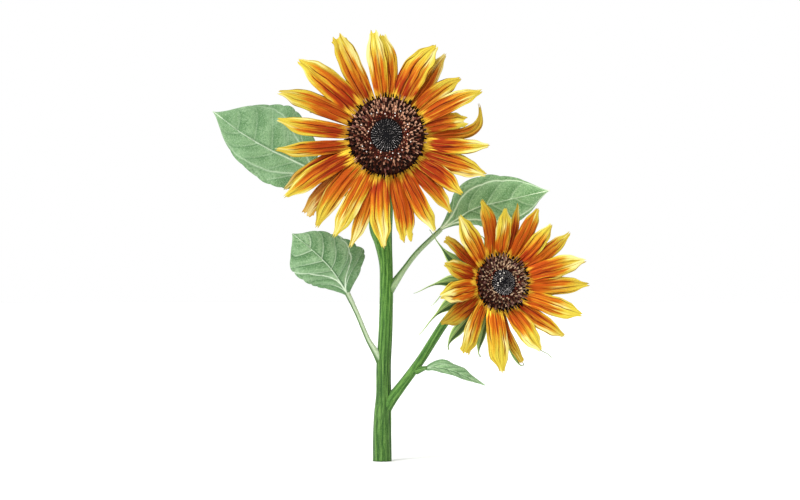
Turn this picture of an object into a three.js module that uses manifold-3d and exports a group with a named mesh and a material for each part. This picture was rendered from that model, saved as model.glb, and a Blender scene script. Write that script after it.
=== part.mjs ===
// A branching sunflower plant with two open heads, modelled in millimetres, +Z up.
// The origin is the middle of the flat cut under the main stem, at ground level, and the heads face -Y.
import * as THREE from "three";
import { mergeVertices } from "three/addons/utils/BufferGeometryUtils.js";
import Module from "manifold-3d";

const wasm = await Module();
wasm.setup();

// ---- driving dimensions -------------------------------------------------------------------------

const CLEARANCE = 0.3; // between pieces that touch
const CUT_BLOCK = 60; // side of the blocks that cut the stems' ends flat

// Limbs run through stations of x, y, z and radius.
const MAIN_STEM = {
  sides: 14,
  steps: 22,
  ribs: 7,
  ribDepth: 0.05,
  stations: [
    [0, 0, -6, 7.1],
    [0, 0.3, 18, 6.95],
    [0.3, 0.7, 34, 6.6],
    [1, 1.3, 50, 5.8],
    [1, 2.2, 72, 5.5],
    [2.3, 3.4, 96, 5.25],
    [3, 5, 124, 5.1],
    [2.8, 6, 150, 5.1],
    [0.8, 6, 166, 6.7],
    [-1.2, 4.5, 178, 8.8],
    [-0.4, 2.2, 200, 9],
    [1.6, -3.5, 222, 8.6],
    [3.3, -13, 237.5, 8.8],
  ],
  headReach: 12, // how far behind the disc the curve ends, before the cut at the cup
  endRadius: 9.6,
};

const SIDE_STEM = {
  sides: 12,
  steps: 18,
  ribs: 5,
  ribDepth: 0.05,
  stations: [
    [0.5, 0.5, 36, 4.6],
    [6, -0.4, 45.5, 4.5],
    [13.5, -1.6, 55.5, 3.9],
    [21, -3, 65.5, 3.55],
    [30, -5, 78.2, 3.35],
    [39, -7, 92.6, 3.3],
    [48, -8.8, 106.3, 3.3],
    [60, -10.2, 120, 3.4],
    [71, -12.6, 129.6, 3.7],
    [80.2, -19.4, 134.2, 4.3],
  ],
  headReach: 9,
  endRadius: 5.8,
};

// A head's centre is the middle of its disc. It is turned round the vertical and lifted, in degrees.
// A ray is [angle, reach, width, lean, row, options]. Angle is that of its root and reach that of its tip
// as the head is seen from the front, counted anticlockwise from the right, and lean is how far round the
// tip goes on from the root. Row 0 is the front row and row 2 the back one. hook turns the tip alone, and
// tip names its end. A bract is given in the same way, and its row is 0.
const TOP_HEAD = {
  name: "top",
  centre: [3.5, -40, 245.3],
  turn: 0,
  lift: 8,
  discRadius: 29.6,
  buttonRadius: 12.3,
  domeHeight: 6.6,
  rimRadius: 27.5,
  cupDepth: 15,
  neckRadius: 9.6,
  rise: 0.42,
  sag: 0.26,
  rays: [
    [0, 72.5, 8.5, 1, 2, { hook: 19 }],
    [14.5, 62.5, 13, -2.5, 1, { tip: "notched" }],
    [27, 79.5, 13.5, -1, 0],
    [41.5, 71, 13, -3, 1],
    [53, 77, 12, 2.5, 2],
    [70, 78.5, 21, -7.5, 0],
    [85, 78, 14, 6.5, 1],
    [98, 80.5, 13.5, 0.5, 0],
    [116.5, 86.5, 16.5, -2, 1, { tip: "notched" }],
    [136.5, 88, 19.5, 2, 0],
    [154.5, 87.5, 15.5, 4, 1],
    [174.5, 83, 14.5, -2, 0],
    [192, 84, 12, -5.5, 1],
    [200, 87, 10, 7.5, 2],
    [208.5, 89, 14.5, 3, 0],
    [218, 85.5, 11.5, 6.5, 2, { tip: "blunt" }],
    [226.5, 86.5, 14.5, 6, 1],
    [243, 85.5, 14, -0.5, 0],
    [254, 88, 11.5, -2, 1],
    [263, 79, 7.5, 2.5, 2],
    [263.5, 84, 15.5, 6, 0],
    [281.5, 82, 14.5, -1, 1, { tip: "notched" }],
    [296.5, 80.5, 13, 1, 0],
    [308.5, 75, 12, 2.5, 1],
    [321.5, 71.5, 13.5, 0, 0],
    [334.5, 80, 16, 5, 1],
    [350.5, 77.5, 12, 5, 0],
  ],
};

const SIDE_HEAD = {
  name: "side",
  centre: [88.6, -42, 136.1],
  turn: 25,
  lift: 4,
  discRadius: 20.6,
  buttonRadius: 10,
  domeHeight: 6,
  rimRadius: 19,
  cupDepth: 12,
  neckRadius: 5.8,
  rise: 0.62,
  sag: 0.24,
  rays: [
    [14.5, 67, 15.5, 0.5, 0],
    [31.5, 64.5, 12, 5.5, 1],
    [48, 58.5, 13, 1.5, 0],
    [65, 62.5, 13.5, -0.5, 1],
    [79, 60.5, 7, 0.5, 2],
    [92, 56, 13, -4.5, 0],
    [110, 64, 12.5, -7, 1],
    [130.5, 59, 16, -8, 0],
    [146, 54.5, 8.5, -5.5, 2, { tip: "blunt" }],
    [165.5, 45, 13.5, -5.5, 1],
    [191, 46.5, 16.5, 2, 0],
    [211, 55, 13.5, 3, 2],
    [230, 59.5, 12, 13, 1, { tip: "blunt" }],
    [257, 66.5, 18, 13, 0],
    [267, 62.5, 7, 18, 2, { tip: "blunt" }],
    [288.5, 59, 16, 11.5, 0],
    [309, 63, 12.5, 11, 1],
    [329, 66.5, 15, 9.5, 0],
    [350.5, 67, 13, 8.5, 1],
  ],
  bracts: [
    [20, 46.5, 7, 2, 0],
    [56, 61, 7, 0, 0],
    [84, 42, 7, -1.5, 0],
    [115, 45, 7, -7, 0],
    [164, 67, 11, -19, 0],
    [177, 66, 9, 6, 0],
    [181, 56.5, 7, 10.5, 0],
    [198, 73, 11, 10, 0],
    [222, 67, 8.5, 4.5, 0, { hook: 4 }],
    [243, 60, 6.5, 8.5, 0, { hook: 2 }],
    [248.5, 58.5, 6, 8.5, 0],
    [267, 69.5, 6, 15, 0, { hook: 6 }],
    [286, 72, 6, 12, 0],
    [300, 52.5, 8, 11, 0],
    [324, 48, 6.5, 5.5, 0],
    [343, 55.5, 6.5, 5.5, 0],
  ],
};

// Leaves: midrib points from the blade's foot to its tip, and the petiole's stations up to that foot.
// facing is the way that the upper side looks. Each half has its widths at even steps along the midrib,
// and its fold in degrees. The first half lies to the left, looking along the midrib with the upper side
// in view.
const LEAVES = [
  {
    name: "upper_left_leaf",
    limb: "main",
    facing: [0.1, -1, 0.25],
    midrib: [
      [-48, 9, 218.5],
      [-68, 10, 228.5],
      [-88, 12, 238],
      [-108, 15, 250],
      [-130.3, 20, 267],
    ],
    halves: [
      { widths: [3, 20, 24.3, 22.5, 19.3, 11, 0.3], fold: 8 },
      { widths: [3, 24.5, 38, 44, 41, 27, 0.3], fold: 18 },
    ],
    petiole: [
      [0, 3, 184, 2.8],
      [-12, 7, 193, 2.3],
      [-30, 9, 205.5, 1.9],
      [-50, 9.1, 219.8, 1.5],
    ],
  },
  {
    name: "lower_left_leaf",
    limb: "main",
    facing: [-0.05, -1, 0.15],
    midrib: [
      [-26, -5.5, 126.5],
      [-33.5, -7, 138.5],
      [-40, -8, 147.5],
      [-52.5, -8.5, 160],
      [-68.3, -6, 173],
    ],
    halves: [
      { widths: [1.5, 9, 16.8, 20.2, 22.5, 20, 0.3], fold: 12 },
      { widths: [1.5, 17.5, 29, 27.6, 22.5, 15, 0.3], fold: 14 },
    ],
    petiole: [
      [0.5, 2, 71, 3.4],
      [-4.4, 0.8, 81.5, 2.8],
      [-10.5, -1.2, 92, 1.9],
      [-19, -3.8, 112, 1.7],
      [-26.6, -5.6, 128, 2],
    ],
  },
  {
    name: "upper_right_leaf",
    limb: "main",
    facing: [0.1, -1, 0.1],
    midrib: [
      [43.5, 9, 175.5],
      [56, 9.5, 183.5],
      [70, 10.5, 192],
      [97, 13.5, 199],
      [128.6, 20, 206.4],
    ],
    halves: [
      { widths: [1.2, 6.5, 14.5, 22.9, 24.5, 16.5, 0.3], fold: 20 },
      { widths: [0.8, 3, 8, 15.3, 20.5, 16.5, 0.3], fold: 24 },
    ],
    petiole: [
      [2, 5, 124, 3.8],
      [9.8, 5.6, 136, 3.1],
      [16.8, 6.3, 146, 2.1],
      [26.2, 7.4, 158.2, 1.85],
      [44.8, 9.1, 176.3, 1.7],
    ],
  },
  {
    name: "side_stem_leaf",
    limb: "side",
    facing: [0.1, -0.8, 0.6],
    midrib: [
      [31.5, -7.5, 70],
      [40, -11.5, 71.6],
      [52, -16, 69.4],
      [64, -19, 64.6],
      [77.4, -20, 58.4],
    ],
    halves: [
      { widths: [0.8, 7.6, 10, 8.6, 7.2, 4, 0.3], fold: 14 },
      { widths: [0.8, 5.5, 8, 8.5, 7, 4, 0.3], fold: -36 },
    ],
    petiole: [
      [25.5, -4.3, 68.5, 3],
      [30, -6.6, 70.2, 2.2],
      [34, -8.8, 71.4, 1.3],
    ],
  },
];

const RAY = {
  along: 6,
  across: 4,
  thickness: 0.8,
  rootGap: 0.3, // between its root and the cup's rim
  rootHeight: -0.95, // of the front row, over the disc's foot
  rowDrop: 1.4, // from row to row at the root
  rowSpread: 1.2, // how much more the rows part further out
  rootShare: 0.5, // of the full width
  belly: 0.48, // how far along the ray is widest
  taper: 1,
  arch: 0.1, // how far the edges fall back, as a share of the half-width
};
const TIPS = {
  pointed: { width: 0, notch: 0 },
  notched: { width: 0.36, notch: 0.08 },
  blunt: { width: 0.5, notch: 0.02 },
};
const BRACT = {
  along: 5,
  across: 2,
  thickness: 1,
  rootShare: 0.85,
  belly: 0.42,
  taper: 2,
  arch: 0.1,
};
const BLADE = { along: 10, across: 6, thickness: 1.1, leastWidth: 0.3 };

const COLOURS = {
  stem: 0x5c8a3c,
  cup: 0x5f8a45,
  leaf: 0x83b088,
  ray: 0xe08a1e,
  florets: 0x4a2a22,
  button: 0x26272b,
};

// ---- solids -------------------------------------------------------------------------------------

const radians = THREE.MathUtils.degToRad;
const vector = ([x, y, z]) => new THREE.Vector3(x, y, z);

function solidFrom(geometry) {
  const bare = geometry.clone();
  bare.deleteAttribute("normal");
  bare.deleteAttribute("uv");
  const merged = mergeVertices(bare, 1e-4);
  return new wasm.Manifold(
    new wasm.Mesh({
      numProp: 3,
      vertProperties: merged.attributes.position.array,
      triVerts: new Uint32Array(merged.index.array),
    }),
  );
}

function geometryFrom(solid) {
  const { vertProperties, triVerts } = solid.getMesh();
  const geometry = new THREE.BufferGeometry();
  geometry.setAttribute("position", new THREE.BufferAttribute(vertProperties, 3));
  geometry.setIndex(new THREE.BufferAttribute(triVerts, 1));
  geometry.computeVertexNormals();
  return geometry;
}

// The largest body of a solid: a cut can leave scraps.
function mainBody(solid) {
  return solid.decompose().sort((a, b) => b.volume() - a.volume())[0];
}

// A tapering, ribbed limb: a cylinder carried along the curve through its stations. grow makes it stouter
// all round.
function limb({ stations, sides, steps, ribs = 0, ribDepth = 0 }, grow = 0) {
  const curve = new THREE.CatmullRomCurve3(stations.map(vector));
  const frames = curve.computeFrenetFrames(steps);
  const tube = new THREE.CylinderGeometry(1, 1, 1, sides, steps);
  const position = tube.attributes.position;
  for (let i = 0; i < position.count; i++) {
    const from = new THREE.Vector3().fromBufferAttribute(position, i);
    const step = Math.round((from.y + 0.5) * steps);
    const along = step / steps;
    const turn = Math.atan2(from.x, from.z);
    const ribbed = 1 + ribDepth * Math.cos(ribs * turn);
    const radius = radiusAt(stations, curve.getUtoTmapping(along)) * ribbed + grow;
    const place = curve
      .getPointAt(along)
      .addScaledVector(frames.binormals[step], from.x * radius)
      .addScaledVector(frames.normals[step], from.z * radius);
    position.setXYZ(i, ...place);
  }
  return tube;
}

function radiusAt(stations, t) {
  const place = t * (stations.length - 1);
  const before = Math.min(Math.floor(place), stations.length - 2);
  return THREE.MathUtils.lerp(stations[before][3], stations[before + 1][3], place - before);
}

// A thin blade: a slab of cells, each vertex carried to place(s, v), where s runs 0 to 1 along the blade
// and v runs -1 to 1 across it. place gives the point of the middle surface and the way that the upper
// side looks there.
function blade({ along, across, thickness }, place) {
  const slab = new THREE.BoxGeometry(2, 2, 1, across, 1, along);
  const position = slab.attributes.position;
  for (let i = 0; i < position.count; i++) {
    const { point, up } = place(position.getZ(i) + 0.5, position.getX(i));
    point.addScaledVector(up, (position.getY(i) * thickness) / 2);
    position.setXYZ(i, ...point);
  }
  return slab;
}

// Directions on a curve: along it, across it and up from the surface that faces the given way.
function directions(pointAt, s, facing) {
  const step = 0.01;
  const along = pointAt(Math.min(1, s + step)).sub(pointAt(Math.max(0, s - step))).normalize();
  const across = facing.clone().cross(along).normalize();
  const up = along.clone().cross(across);
  return { along, across, up };
}

// ---- heads --------------------------------------------------------------------------------------

// A point at a given height over the disc, in the head's own frame, that is seen at x and z from the front.
function seenToHead(head, x, z, height) {
  const turn = radians(head.turn);
  const lift = radians(head.lift);
  const upward = (z - height * Math.sin(lift)) / Math.cos(lift);
  const sideways = Math.sin(turn) * (upward * Math.sin(lift) - height * Math.cos(lift));
  return new THREE.Vector3((x + sideways) / Math.cos(turn), upward, height);
}

// The midline of a ray or bract, in the head's own frame, from its root on the rim to its tip.
// heightAt(s) is its height over the disc.
function midline(head, [angle, reach, , lean, , { hook = 0 } = {}], rootRadius, heightAt) {
  const seen = (degrees, radius, height) =>
    seenToHead(head, radius * Math.cos(radians(degrees)), radius * Math.sin(radians(degrees)), height);
  const root = seen(angle, rootRadius, heightAt(0));
  const tip = seen(angle + lean, reach, heightAt(1));
  const tipRadius = Math.hypot(tip.x, tip.y);
  const turn = Math.atan2(root.x * tip.y - root.y * tip.x, root.x * tip.x + root.y * tip.y);
  return (s) => {
    const bearing = Math.atan2(root.y, root.x) + turn * s ** 1.2 + radians(hook) * s ** 4;
    const outward = hook ? Math.sin((Math.PI / 2) * s) : s;
    const radius = THREE.MathUtils.lerp(rootRadius, tipRadius, outward);
    return new THREE.Vector3(radius * Math.cos(bearing), radius * Math.sin(bearing), heightAt(s));
  };
}

// The head's own frame: its axis is Z and its disc's foot is at the origin.
function headFrame({ centre, turn, lift }) {
  const tilt = new THREE.Euler(radians(90 - lift), 0, radians(turn), "ZXY");
  return new THREE.Matrix4().makeRotationFromEuler(tilt).setPosition(...centre);
}

// Half-width at s as a share of the widest: it swells from the root to the belly and tapers to the tip.
function swell(s, { rootShare, belly, taper }) {
  return s < belly
    ? rootShare + (1 - rootShare) * Math.sin((Math.PI / 2) * (s / belly))
    : Math.cos((Math.PI / 2) * ((s - belly) / (1 - belly))) ** taper;
}

function petalBlade(shape, width, lineAt, tip) {
  const facing = new THREE.Vector3(0, 0, 1);
  return blade(shape, (s, v) => {
    const toothed = Math.max(0, s - tip.notch * s ** 6 * Math.abs(2 * Math.abs(v) - 1));
    const { across, up } = directions(lineAt, toothed, facing);
    const half = Math.max(0.22, (width / 2) * (swell(s, shape) + tip.width * s ** 4));
    const point = lineAt(toothed)
      .addScaledVector(across, v * half)
      .addScaledVector(up, -shape.arch * half * v * v);
    return { point, up };
  });
}

function rayGeometry(head, ray) {
  const [, reach, width, , row, options = {}] = ray;
  const rootRadius = head.rimRadius + RAY.rootGap;
  const length = reach - rootRadius;
  const heightAt = (s) =>
    RAY.rootHeight -
    row * (RAY.rowDrop + RAY.rowSpread * Math.min(1, s / 0.4)) +
    length * (head.rise * s - head.sag * s * s);
  return petalBlade(RAY, width, midline(head, ray, rootRadius, heightAt), TIPS[options.tip ?? "pointed"]);
}

// Where a head has no bracts of its own, one stands behind each ray of the two front rows and ends short
// of its tip.
function bractsOf(head) {
  return (
    head.bracts ??
    head.rays
      .filter(([, , , , row]) => row < 2)
      .map(([angle, reach, , lean]) => [angle, 0.7 * reach, 7, lean * 0.5, 0])
  );
}

function bractSolid(head, bract) {
  const [, reach, width] = bract;
  const rootRadius = head.rimRadius - 4;
  const length = reach - rootRadius;
  const heightAt = (s) => -7 + length * (0.2 * s - 0.3 * s * s);
  return solidFrom(petalBlade(BRACT, width, midline(head, bract, rootRadius, heightAt), TIPS.pointed));
}

// Turned pieces are lathed round the head's axis: the profile is radius and height over the disc's foot.
function turned(profile, segments) {
  const points = profile.map(([radius, height]) => new THREE.Vector2(radius, height));
  return new THREE.LatheGeometry(points, segments).rotateX(Math.PI / 2);
}

function cupSolid(head) {
  const { rimRadius, cupDepth, neckRadius } = head;
  const cup = turned(
    [
      [0, -cupDepth],
      [neckRadius, -cupDepth],
      [rimRadius * 0.62, -cupDepth * 0.82],
      [rimRadius * 0.9, -cupDepth * 0.62],
      [rimRadius, -cupDepth * 0.42],
      [rimRadius, 0],
      [0, 0],
    ],
    30,
  );
  return bractsOf(head).reduce((solid, bract) => solid.add(bractSolid(head, bract)), solidFrom(cup));
}

function floretRing({ discRadius, buttonRadius, domeHeight }) {
  const seat = buttonRadius + CLEARANCE;
  const seatHeight = domeHeight * 0.42;
  const shoulder = discRadius - seat;
  return turned(
    [
      [0, CLEARANCE],
      [discRadius * 0.965, CLEARANCE],
      [discRadius, domeHeight * 0.2],
      [discRadius * 0.965, domeHeight * 0.5],
      [seat + shoulder * 0.72, domeHeight * 0.86],
      [seat + shoulder * 0.42, domeHeight],
      [seat + shoulder * 0.14, domeHeight * 0.94],
      [seat, domeHeight * 0.72],
      [seat, seatHeight],
      [0, seatHeight],
    ],
    32,
  );
}

function button({ buttonRadius, domeHeight }) {
  const foot = domeHeight * 0.42 + CLEARANCE;
  return turned(
    [
      [0, foot],
      [buttonRadius, foot],
      [buttonRadius * 0.97, domeHeight * 0.78],
      [buttonRadius * 0.7, domeHeight * 0.98],
      [buttonRadius * 0.35, domeHeight * 1.06],
      [0, domeHeight * 1.08],
    ],
    24,
  );
}

// ---- leaves -------------------------------------------------------------------------------------

// The width of a leaf's half at t, on a smooth curve through its widths.
function widthAt(widths, t) {
  const curve = new THREE.SplineCurve(widths.map((width, i) => new THREE.Vector2(i, width)));
  return Math.max(BLADE.leastWidth, curve.getPoint(t).y);
}

function leafBlade(leaf) {
  const rib = new THREE.CatmullRomCurve3(leaf.midrib.map(vector));
  const outward = vector(leaf.facing).normalize();
  return blade(BLADE, (t, v) => {
    const { across, up } = directions((s) => rib.getPoint(s), t, outward);
    const half = leaf.halves[v > 0 ? 0 : 1];
    const width = widthAt(half.widths, t);
    const fold = radians(half.fold) * Math.abs(v);
    const point = rib
      .getPoint(t)
      .addScaledVector(across, v * width * Math.cos(fold))
      .addScaledVector(up, -Math.abs(v) * width * Math.sin(fold));
    return { point, up };
  });
}

function leafSolid(leaf, stems) {
  const petiole = solidFrom(limb({ stations: leaf.petiole, sides: 8, steps: 8 }));
  const clear = limb(stems[leaf.limb], CLEARANCE);
  return mainBody(solidFrom(leafBlade(leaf)).add(petiole).subtract(solidFrom(clear)));
}

// ---- the plant ----------------------------------------------------------------------------------

const materials = Object.fromEntries(
  Object.entries(COLOURS).map(([name, color]) => [
    name,
    new THREE.MeshStandardMaterial({ color, roughness: 0.65, metalness: 0 }),
  ]),
);

function piece(name, geometry, material) {
  const mesh = new THREE.Mesh(geometry, materials[material]);
  mesh.name = name;
  return mesh;
}

function headGroup(head) {
  const group = new THREE.Group();
  group.applyMatrix4(headFrame(head));
  group.add(
    piece(`${head.name}_head_cup`, geometryFrom(cupSolid(head)), "cup"),
    piece(`${head.name}_head_floret_ring`, floretRing(head), "florets"),
    piece(`${head.name}_head_button`, button(head), "button"),
    ...head.rays.map((ray, i) =>
      piece(`${head.name}_ray_${String(i + 1).padStart(2, "0")}`, rayGeometry(head, ray), "ray"),
    ),
  );
  return group;
}

// A stem runs on into its head and is cut flat where the head's cup stands on it.
function carrying(stem, head) {
  const end = new THREE.Vector3(0, 0, -stem.headReach).applyMatrix4(headFrame(head));
  return { ...stem, stations: [...stem.stations, [...end, stem.endRadius]] };
}

function cutAtCup(solid, head) {
  const block = new THREE.BoxGeometry(CUT_BLOCK, CUT_BLOCK, CUT_BLOCK);
  block.translate(0, 0, CUT_BLOCK / 2 - head.cupDepth - CLEARANCE).applyMatrix4(headFrame(head));
  return solid.subtract(solidFrom(block));
}

function mainStemSolid() {
  const underground = new THREE.BoxGeometry(CUT_BLOCK, CUT_BLOCK, CUT_BLOCK);
  underground.translate(0, 0, -CUT_BLOCK / 2);
  return cutAtCup(solidFrom(limb(stems.main)).subtract(solidFrom(underground)), TOP_HEAD);
}

function sideStemSolid() {
  const joined = solidFrom(limb(stems.side)).subtract(solidFrom(limb(stems.main, CLEARANCE)));
  return mainBody(cutAtCup(joined, SIDE_HEAD));
}

const stems = { main: carrying(MAIN_STEM, TOP_HEAD), side: carrying(SIDE_STEM, SIDE_HEAD) };

const plant = new THREE.Group();
plant.add(
  piece("main_stem", geometryFrom(mainStemSolid()), "stem"),
  piece("side_stem", geometryFrom(sideStemSolid()), "stem"),
  ...LEAVES.map((leaf) => piece(leaf.name, geometryFrom(leafSolid(leaf, stems)), "leaf")),
  headGroup(TOP_HEAD),
  headGroup(SIDE_HEAD),
);

export default plant;
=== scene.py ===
"""Dresses the frame of a branching sunflower plant with stems, leaves, rays, bracts and florets.

Sizes are in millimetres until a mesh is made. Stems, leaves, rays, bracts and cups follow the rules of
the frame's solids in finer steps, and the discs carry florets of their own.
"""

import math

import bpy
import numpy as np
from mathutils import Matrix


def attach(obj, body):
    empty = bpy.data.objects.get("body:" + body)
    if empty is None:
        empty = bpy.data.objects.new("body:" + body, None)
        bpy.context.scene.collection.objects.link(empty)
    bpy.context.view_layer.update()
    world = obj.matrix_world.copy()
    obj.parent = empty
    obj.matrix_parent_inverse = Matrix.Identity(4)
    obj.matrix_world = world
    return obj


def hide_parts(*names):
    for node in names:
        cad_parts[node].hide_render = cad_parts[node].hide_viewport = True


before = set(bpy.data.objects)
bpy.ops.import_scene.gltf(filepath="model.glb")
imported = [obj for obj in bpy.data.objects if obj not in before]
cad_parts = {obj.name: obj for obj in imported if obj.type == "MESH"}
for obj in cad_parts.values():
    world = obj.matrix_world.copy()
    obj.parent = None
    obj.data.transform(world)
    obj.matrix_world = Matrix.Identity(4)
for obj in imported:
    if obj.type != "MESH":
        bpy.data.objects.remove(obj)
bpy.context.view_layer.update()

bl_info = {
    "name": "Sunflower Plant",
    "version": (1, 0, 0),
    "blender": (4, 5, 0),
    "location": "View3D > Sidebar > Sunflower",
    "description": "Makes the stems, leaves, rays, bracts and florets of a branching sunflower plant",
    "category": "Object",
}

MM = 0.001
GRAIN = "Grain"  # UV map: across and along a blade, or round and along a limb
LEAF_GRAIN = 60  # millimetres of a leaf, and of a limb's length, to one unit of the map
LIMB_GRAIN = 20
BODY = "root"
GOLDEN_ANGLE = 137.50776
SPIRAL_PITCH = 0.53  # of a golden-angle spiral, for florets that lie one spacing apart
UP = np.array([0.0, 0.0, 1.0])

# How finely things are made: steps along and across a leaf, and steps round a stem or a turned solid.
LEAF_STEPS = (150, 121)
STEM_ROUND = 72
STEM_STEP = 1.2
TURNED_ROUND = 96

# ---- the plant's plan ----


def blade(angle, reach, width, lean, row=0, gilt=0, tip="pointed", hook=0):
    """A ray or bract as its head is seen from the front.

    Its root is at angle, anticlockwise from the right, and its tip at reach, lean further round. row counts
    back from the front, gilt is how far down its yellow comes, and hook is how far round its end curls.
    """
    return {
        "angle": angle, "reach": reach, "width": width, "lean": lean,
        "row": row, "gilt": gilt, "tip": tip, "hook": hook,
    }


# Limbs run through stations of x, y, z and radius. They end behind the disc of their head.
MAIN_STEM = [
    (0, 0, -6, 7.1), (0, 0.3, 18, 6.95), (0.3, 0.7, 34, 6.6), (1, 1.3, 50, 5.8), (1, 2.2, 72, 5.5),
    (2.3, 3.4, 96, 5.25), (3, 5, 124, 5.1), (2.8, 6, 150, 5.1), (0.8, 6, 166, 6.7), (-1.2, 4.5, 178, 8.8),
    (-0.4, 2.2, 200, 9), (1.6, -3.5, 222, 8.6), (3.3, -13, 237.5, 8.8),
]
SIDE_STEM = [
    (0.5, 0.5, 36, 4.6), (6, -0.4, 45.5, 4.5), (13.5, -1.6, 55.5, 3.9), (21, -3, 65.5, 3.55),
    (30, -5, 78.2, 3.35), (39, -7, 92.6, 3.3), (48, -8.8, 106.3, 3.3), (60, -10.2, 120, 3.4),
    (71, -12.6, 129.6, 3.7), (80.2, -19.4, 134.2, 4.3),
]

# Heads look to the front, turned to the right and lifted by so many degrees. Their rays rise and then sag by
# shares of their length. In florets, reach is how far out the open ones stand as a share of the disc, and
# closed_reach is how far out the closed ones do as a share of the button.
# Rays 6 to 9, 12 and 13 of the top head differ from their solids by up to 3.5 degrees and 1 mm of width, so
# that narrow slits show between them. Discs are drawn in an oval, where their solids are round.
TOP_HEAD = {
    "name": "top",
    "centre": (3.5, -40, 245.3),
    "turn": 0,
    "lift": 8,
    "disc_radius": 29.6,
    "button_radius": 12.3,
    "dome_height": 6.6,
    "rim_radius": 27.5,
    "cup_depth": 15,
    "neck_radius": 9.6,
    "rise": 0.42,
    "sag": 0.26,
    "oval": (0.95, 1.0, 1.0),
    "seed": 3000,
    # Painted light on the rays, most towards the foot, where the disc shades them.
    "ray_painted_light": 0.23,
    "blunt_fade": 0.5,
    "florets": {
        "seed": 15, "reach": 0.9, "closed_reach": 1.35, "tousle": 0.18, "crowding": 1.0, "size": 1.0,
        "tan": (1.15, 1.12, 1.2), "anther_kinds": [0.7, 0.93], "closed_mix": [0.34, 0.2, 0.22, 0.15, 0.09],
        "light_of_bearing": 1.0, "light_of_share": 0.0,
        "specks": 26, "speck_reach": (1.1, 1.75), "speck_rise": 2.0,
    },
    "rays": [blade(*row) for row in (
        (0, 72.5, 8.5, 1, 2, 0.5, "pointed", 19), (14.5, 62.5, 13, -2.5, 1, 0, "notched"),
        (27, 79.5, 13.5, -1, 0, -0.1), (41.5, 71, 13, -3, 1, 0.1), (53, 77, 12, 2.5, 2, 0.1),
        (69, 78.5, 20.5, -7.5), (88.5, 78, 13, 4, 1, 0.2, "broad"), (96.5, 80.5, 13.5, 1, 0, 0.2, "broad"),
        (117.5, 86.5, 16, -2, 1, 0.3, "notched"), (136.5, 88, 19.5, 2, 0, 0.1), (154.5, 87.5, 15.5, 4, 1),
        (174, 83, 13.5, -2, 0, 0.1), (193, 84, 11.5, -5.5, 1, 0.1), (200, 87, 10, 7.5, 2, -0.1),
        (208.5, 89, 14.5, 3, 0, -0.2), (218, 85.5, 11.5, 6.5, 2, 0, "blunt"),
        (226.5, 86.5, 14.5, 6, 1, 0.1), (243, 85.5, 14, -0.5, 0, 0.1), (254, 88, 11.5, -2, 1, 0.1),
        (263, 79, 7.5, 2.5, 2, 0.1), (263.5, 84, 15.5, 6, 0, 0.25),
        (281.5, 82, 14.5, -1, 1, -0.2, "notched"), (296.5, 80.5, 13, 1, 0, -0.2),
        (308.5, 75, 12, 2.5, 1, -0.3), (321.5, 71.5, 13.5, 0, 0, -0.5), (334.5, 80, 16, 5, 1, -0.2),
        (350.5, 77.5, 12, 5),
    )],
}
SIDE_HEAD = {
    "name": "side",
    "centre": (88.6, -42, 136.1),
    "turn": 25,
    "lift": 4,
    "disc_radius": 20.6,
    "button_radius": 10,
    "dome_height": 6,
    "rim_radius": 19,
    "cup_depth": 12,
    "neck_radius": 5.8,
    "rise": 0.62,
    "sag": 0.24,
    "oval": (0.97, 0.96, 1.0),
    "seed": 4000,
    # Painted light on the rays, most towards the foot, where the disc shades them and the steep rays turn
    # from the light.
    "ray_painted_light": 0.6,
    "blunt_fade": 0.0,
    "florets": {
        "seed": 16, "reach": 0.96, "closed_reach": 1.25, "tousle": 0.42, "crowding": 0.8, "size": 0.75,
        "tan": (1.0, 1.25, 1.35), "anther_kinds": [0.45, 0.66], "closed_mix": [0.12, 0.2, 0.16, 0.26, 0.26],
        "light_of_bearing": 0.4, "light_of_share": 0.7,
        "specks": 7, "speck_reach": (0.35, 0.9), "speck_rise": 0.6,
    },
    "rays": [blade(*row) for row in (
        (14.5, 67, 15.5, 0.5, 0, 0.1), (31.5, 64.5, 12, 5.5, 1, 0.2), (48, 58.5, 13, 1.5, 0, 0.2),
        (65, 62.5, 13.5, -0.5, 1, -0.3), (79, 60.5, 7, 0.5, 2, -0.3), (92, 56, 13, -4.5, 0, 0.35),
        (110, 64, 12.5, -7, 1, -0.2), (130.5, 59, 16, -8, 0, 0.35), (146, 54.5, 8.5, -5.5, 2, 0.2, "blunt"),
        (165.5, 45, 13.5, -5.5, 1, 0.2), (191, 46.5, 16.5, 2, 0, 0.1), (211, 55, 13.5, 3, 2, 0.4),
        (230, 59.5, 12, 13, 1, 0.5, "blunt"), (257, 66.5, 18, 13, 0, 0.55),
        (267, 62.5, 7, 18, 2, 0.5, "blunt"), (288.5, 59, 16, 11.5, 0, 0.35), (309, 63, 12.5, 11, 1, 0.1),
        (329, 66.5, 15, 9.5, 0, 0.25), (350.5, 67, 13, 8.5, 1, 0.2),
    )],
    "bracts": [blade(*row) for row in (
        (20, 46.5, 7, 2), (56, 61, 7, 0), (84, 42, 7, -1.5), (115, 45, 7, -7), (164, 67, 11, -19),
        (177, 66, 9, 6), (181, 56.5, 7, 10.5), (198, 73, 11, 10), (222, 67, 8.5, 4.5, 0, 0, "pointed", 4),
        (243, 60, 6.5, 8.5, 0, 0, "pointed", 2), (248.5, 58.5, 6, 8.5),
        (267, 69.5, 6, 15, 0, 0, "pointed", 6), (286, 72, 6, 12), (300, 52.5, 8, 11), (324, 48, 6.5, 5.5),
        (343, 55.5, 6.5, 5.5),
    )],
}
HEADS = (TOP_HEAD, SIDE_HEAD)
# A bract stands behind each ray of the top head's two front rows.
TOP_HEAD["bracts"] = [
    blade(ray["angle"], 0.7 * ray["reach"], 7, ray["lean"] * 0.5)
    for ray in TOP_HEAD["rays"]
    if ray["row"] < 2
]

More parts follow.
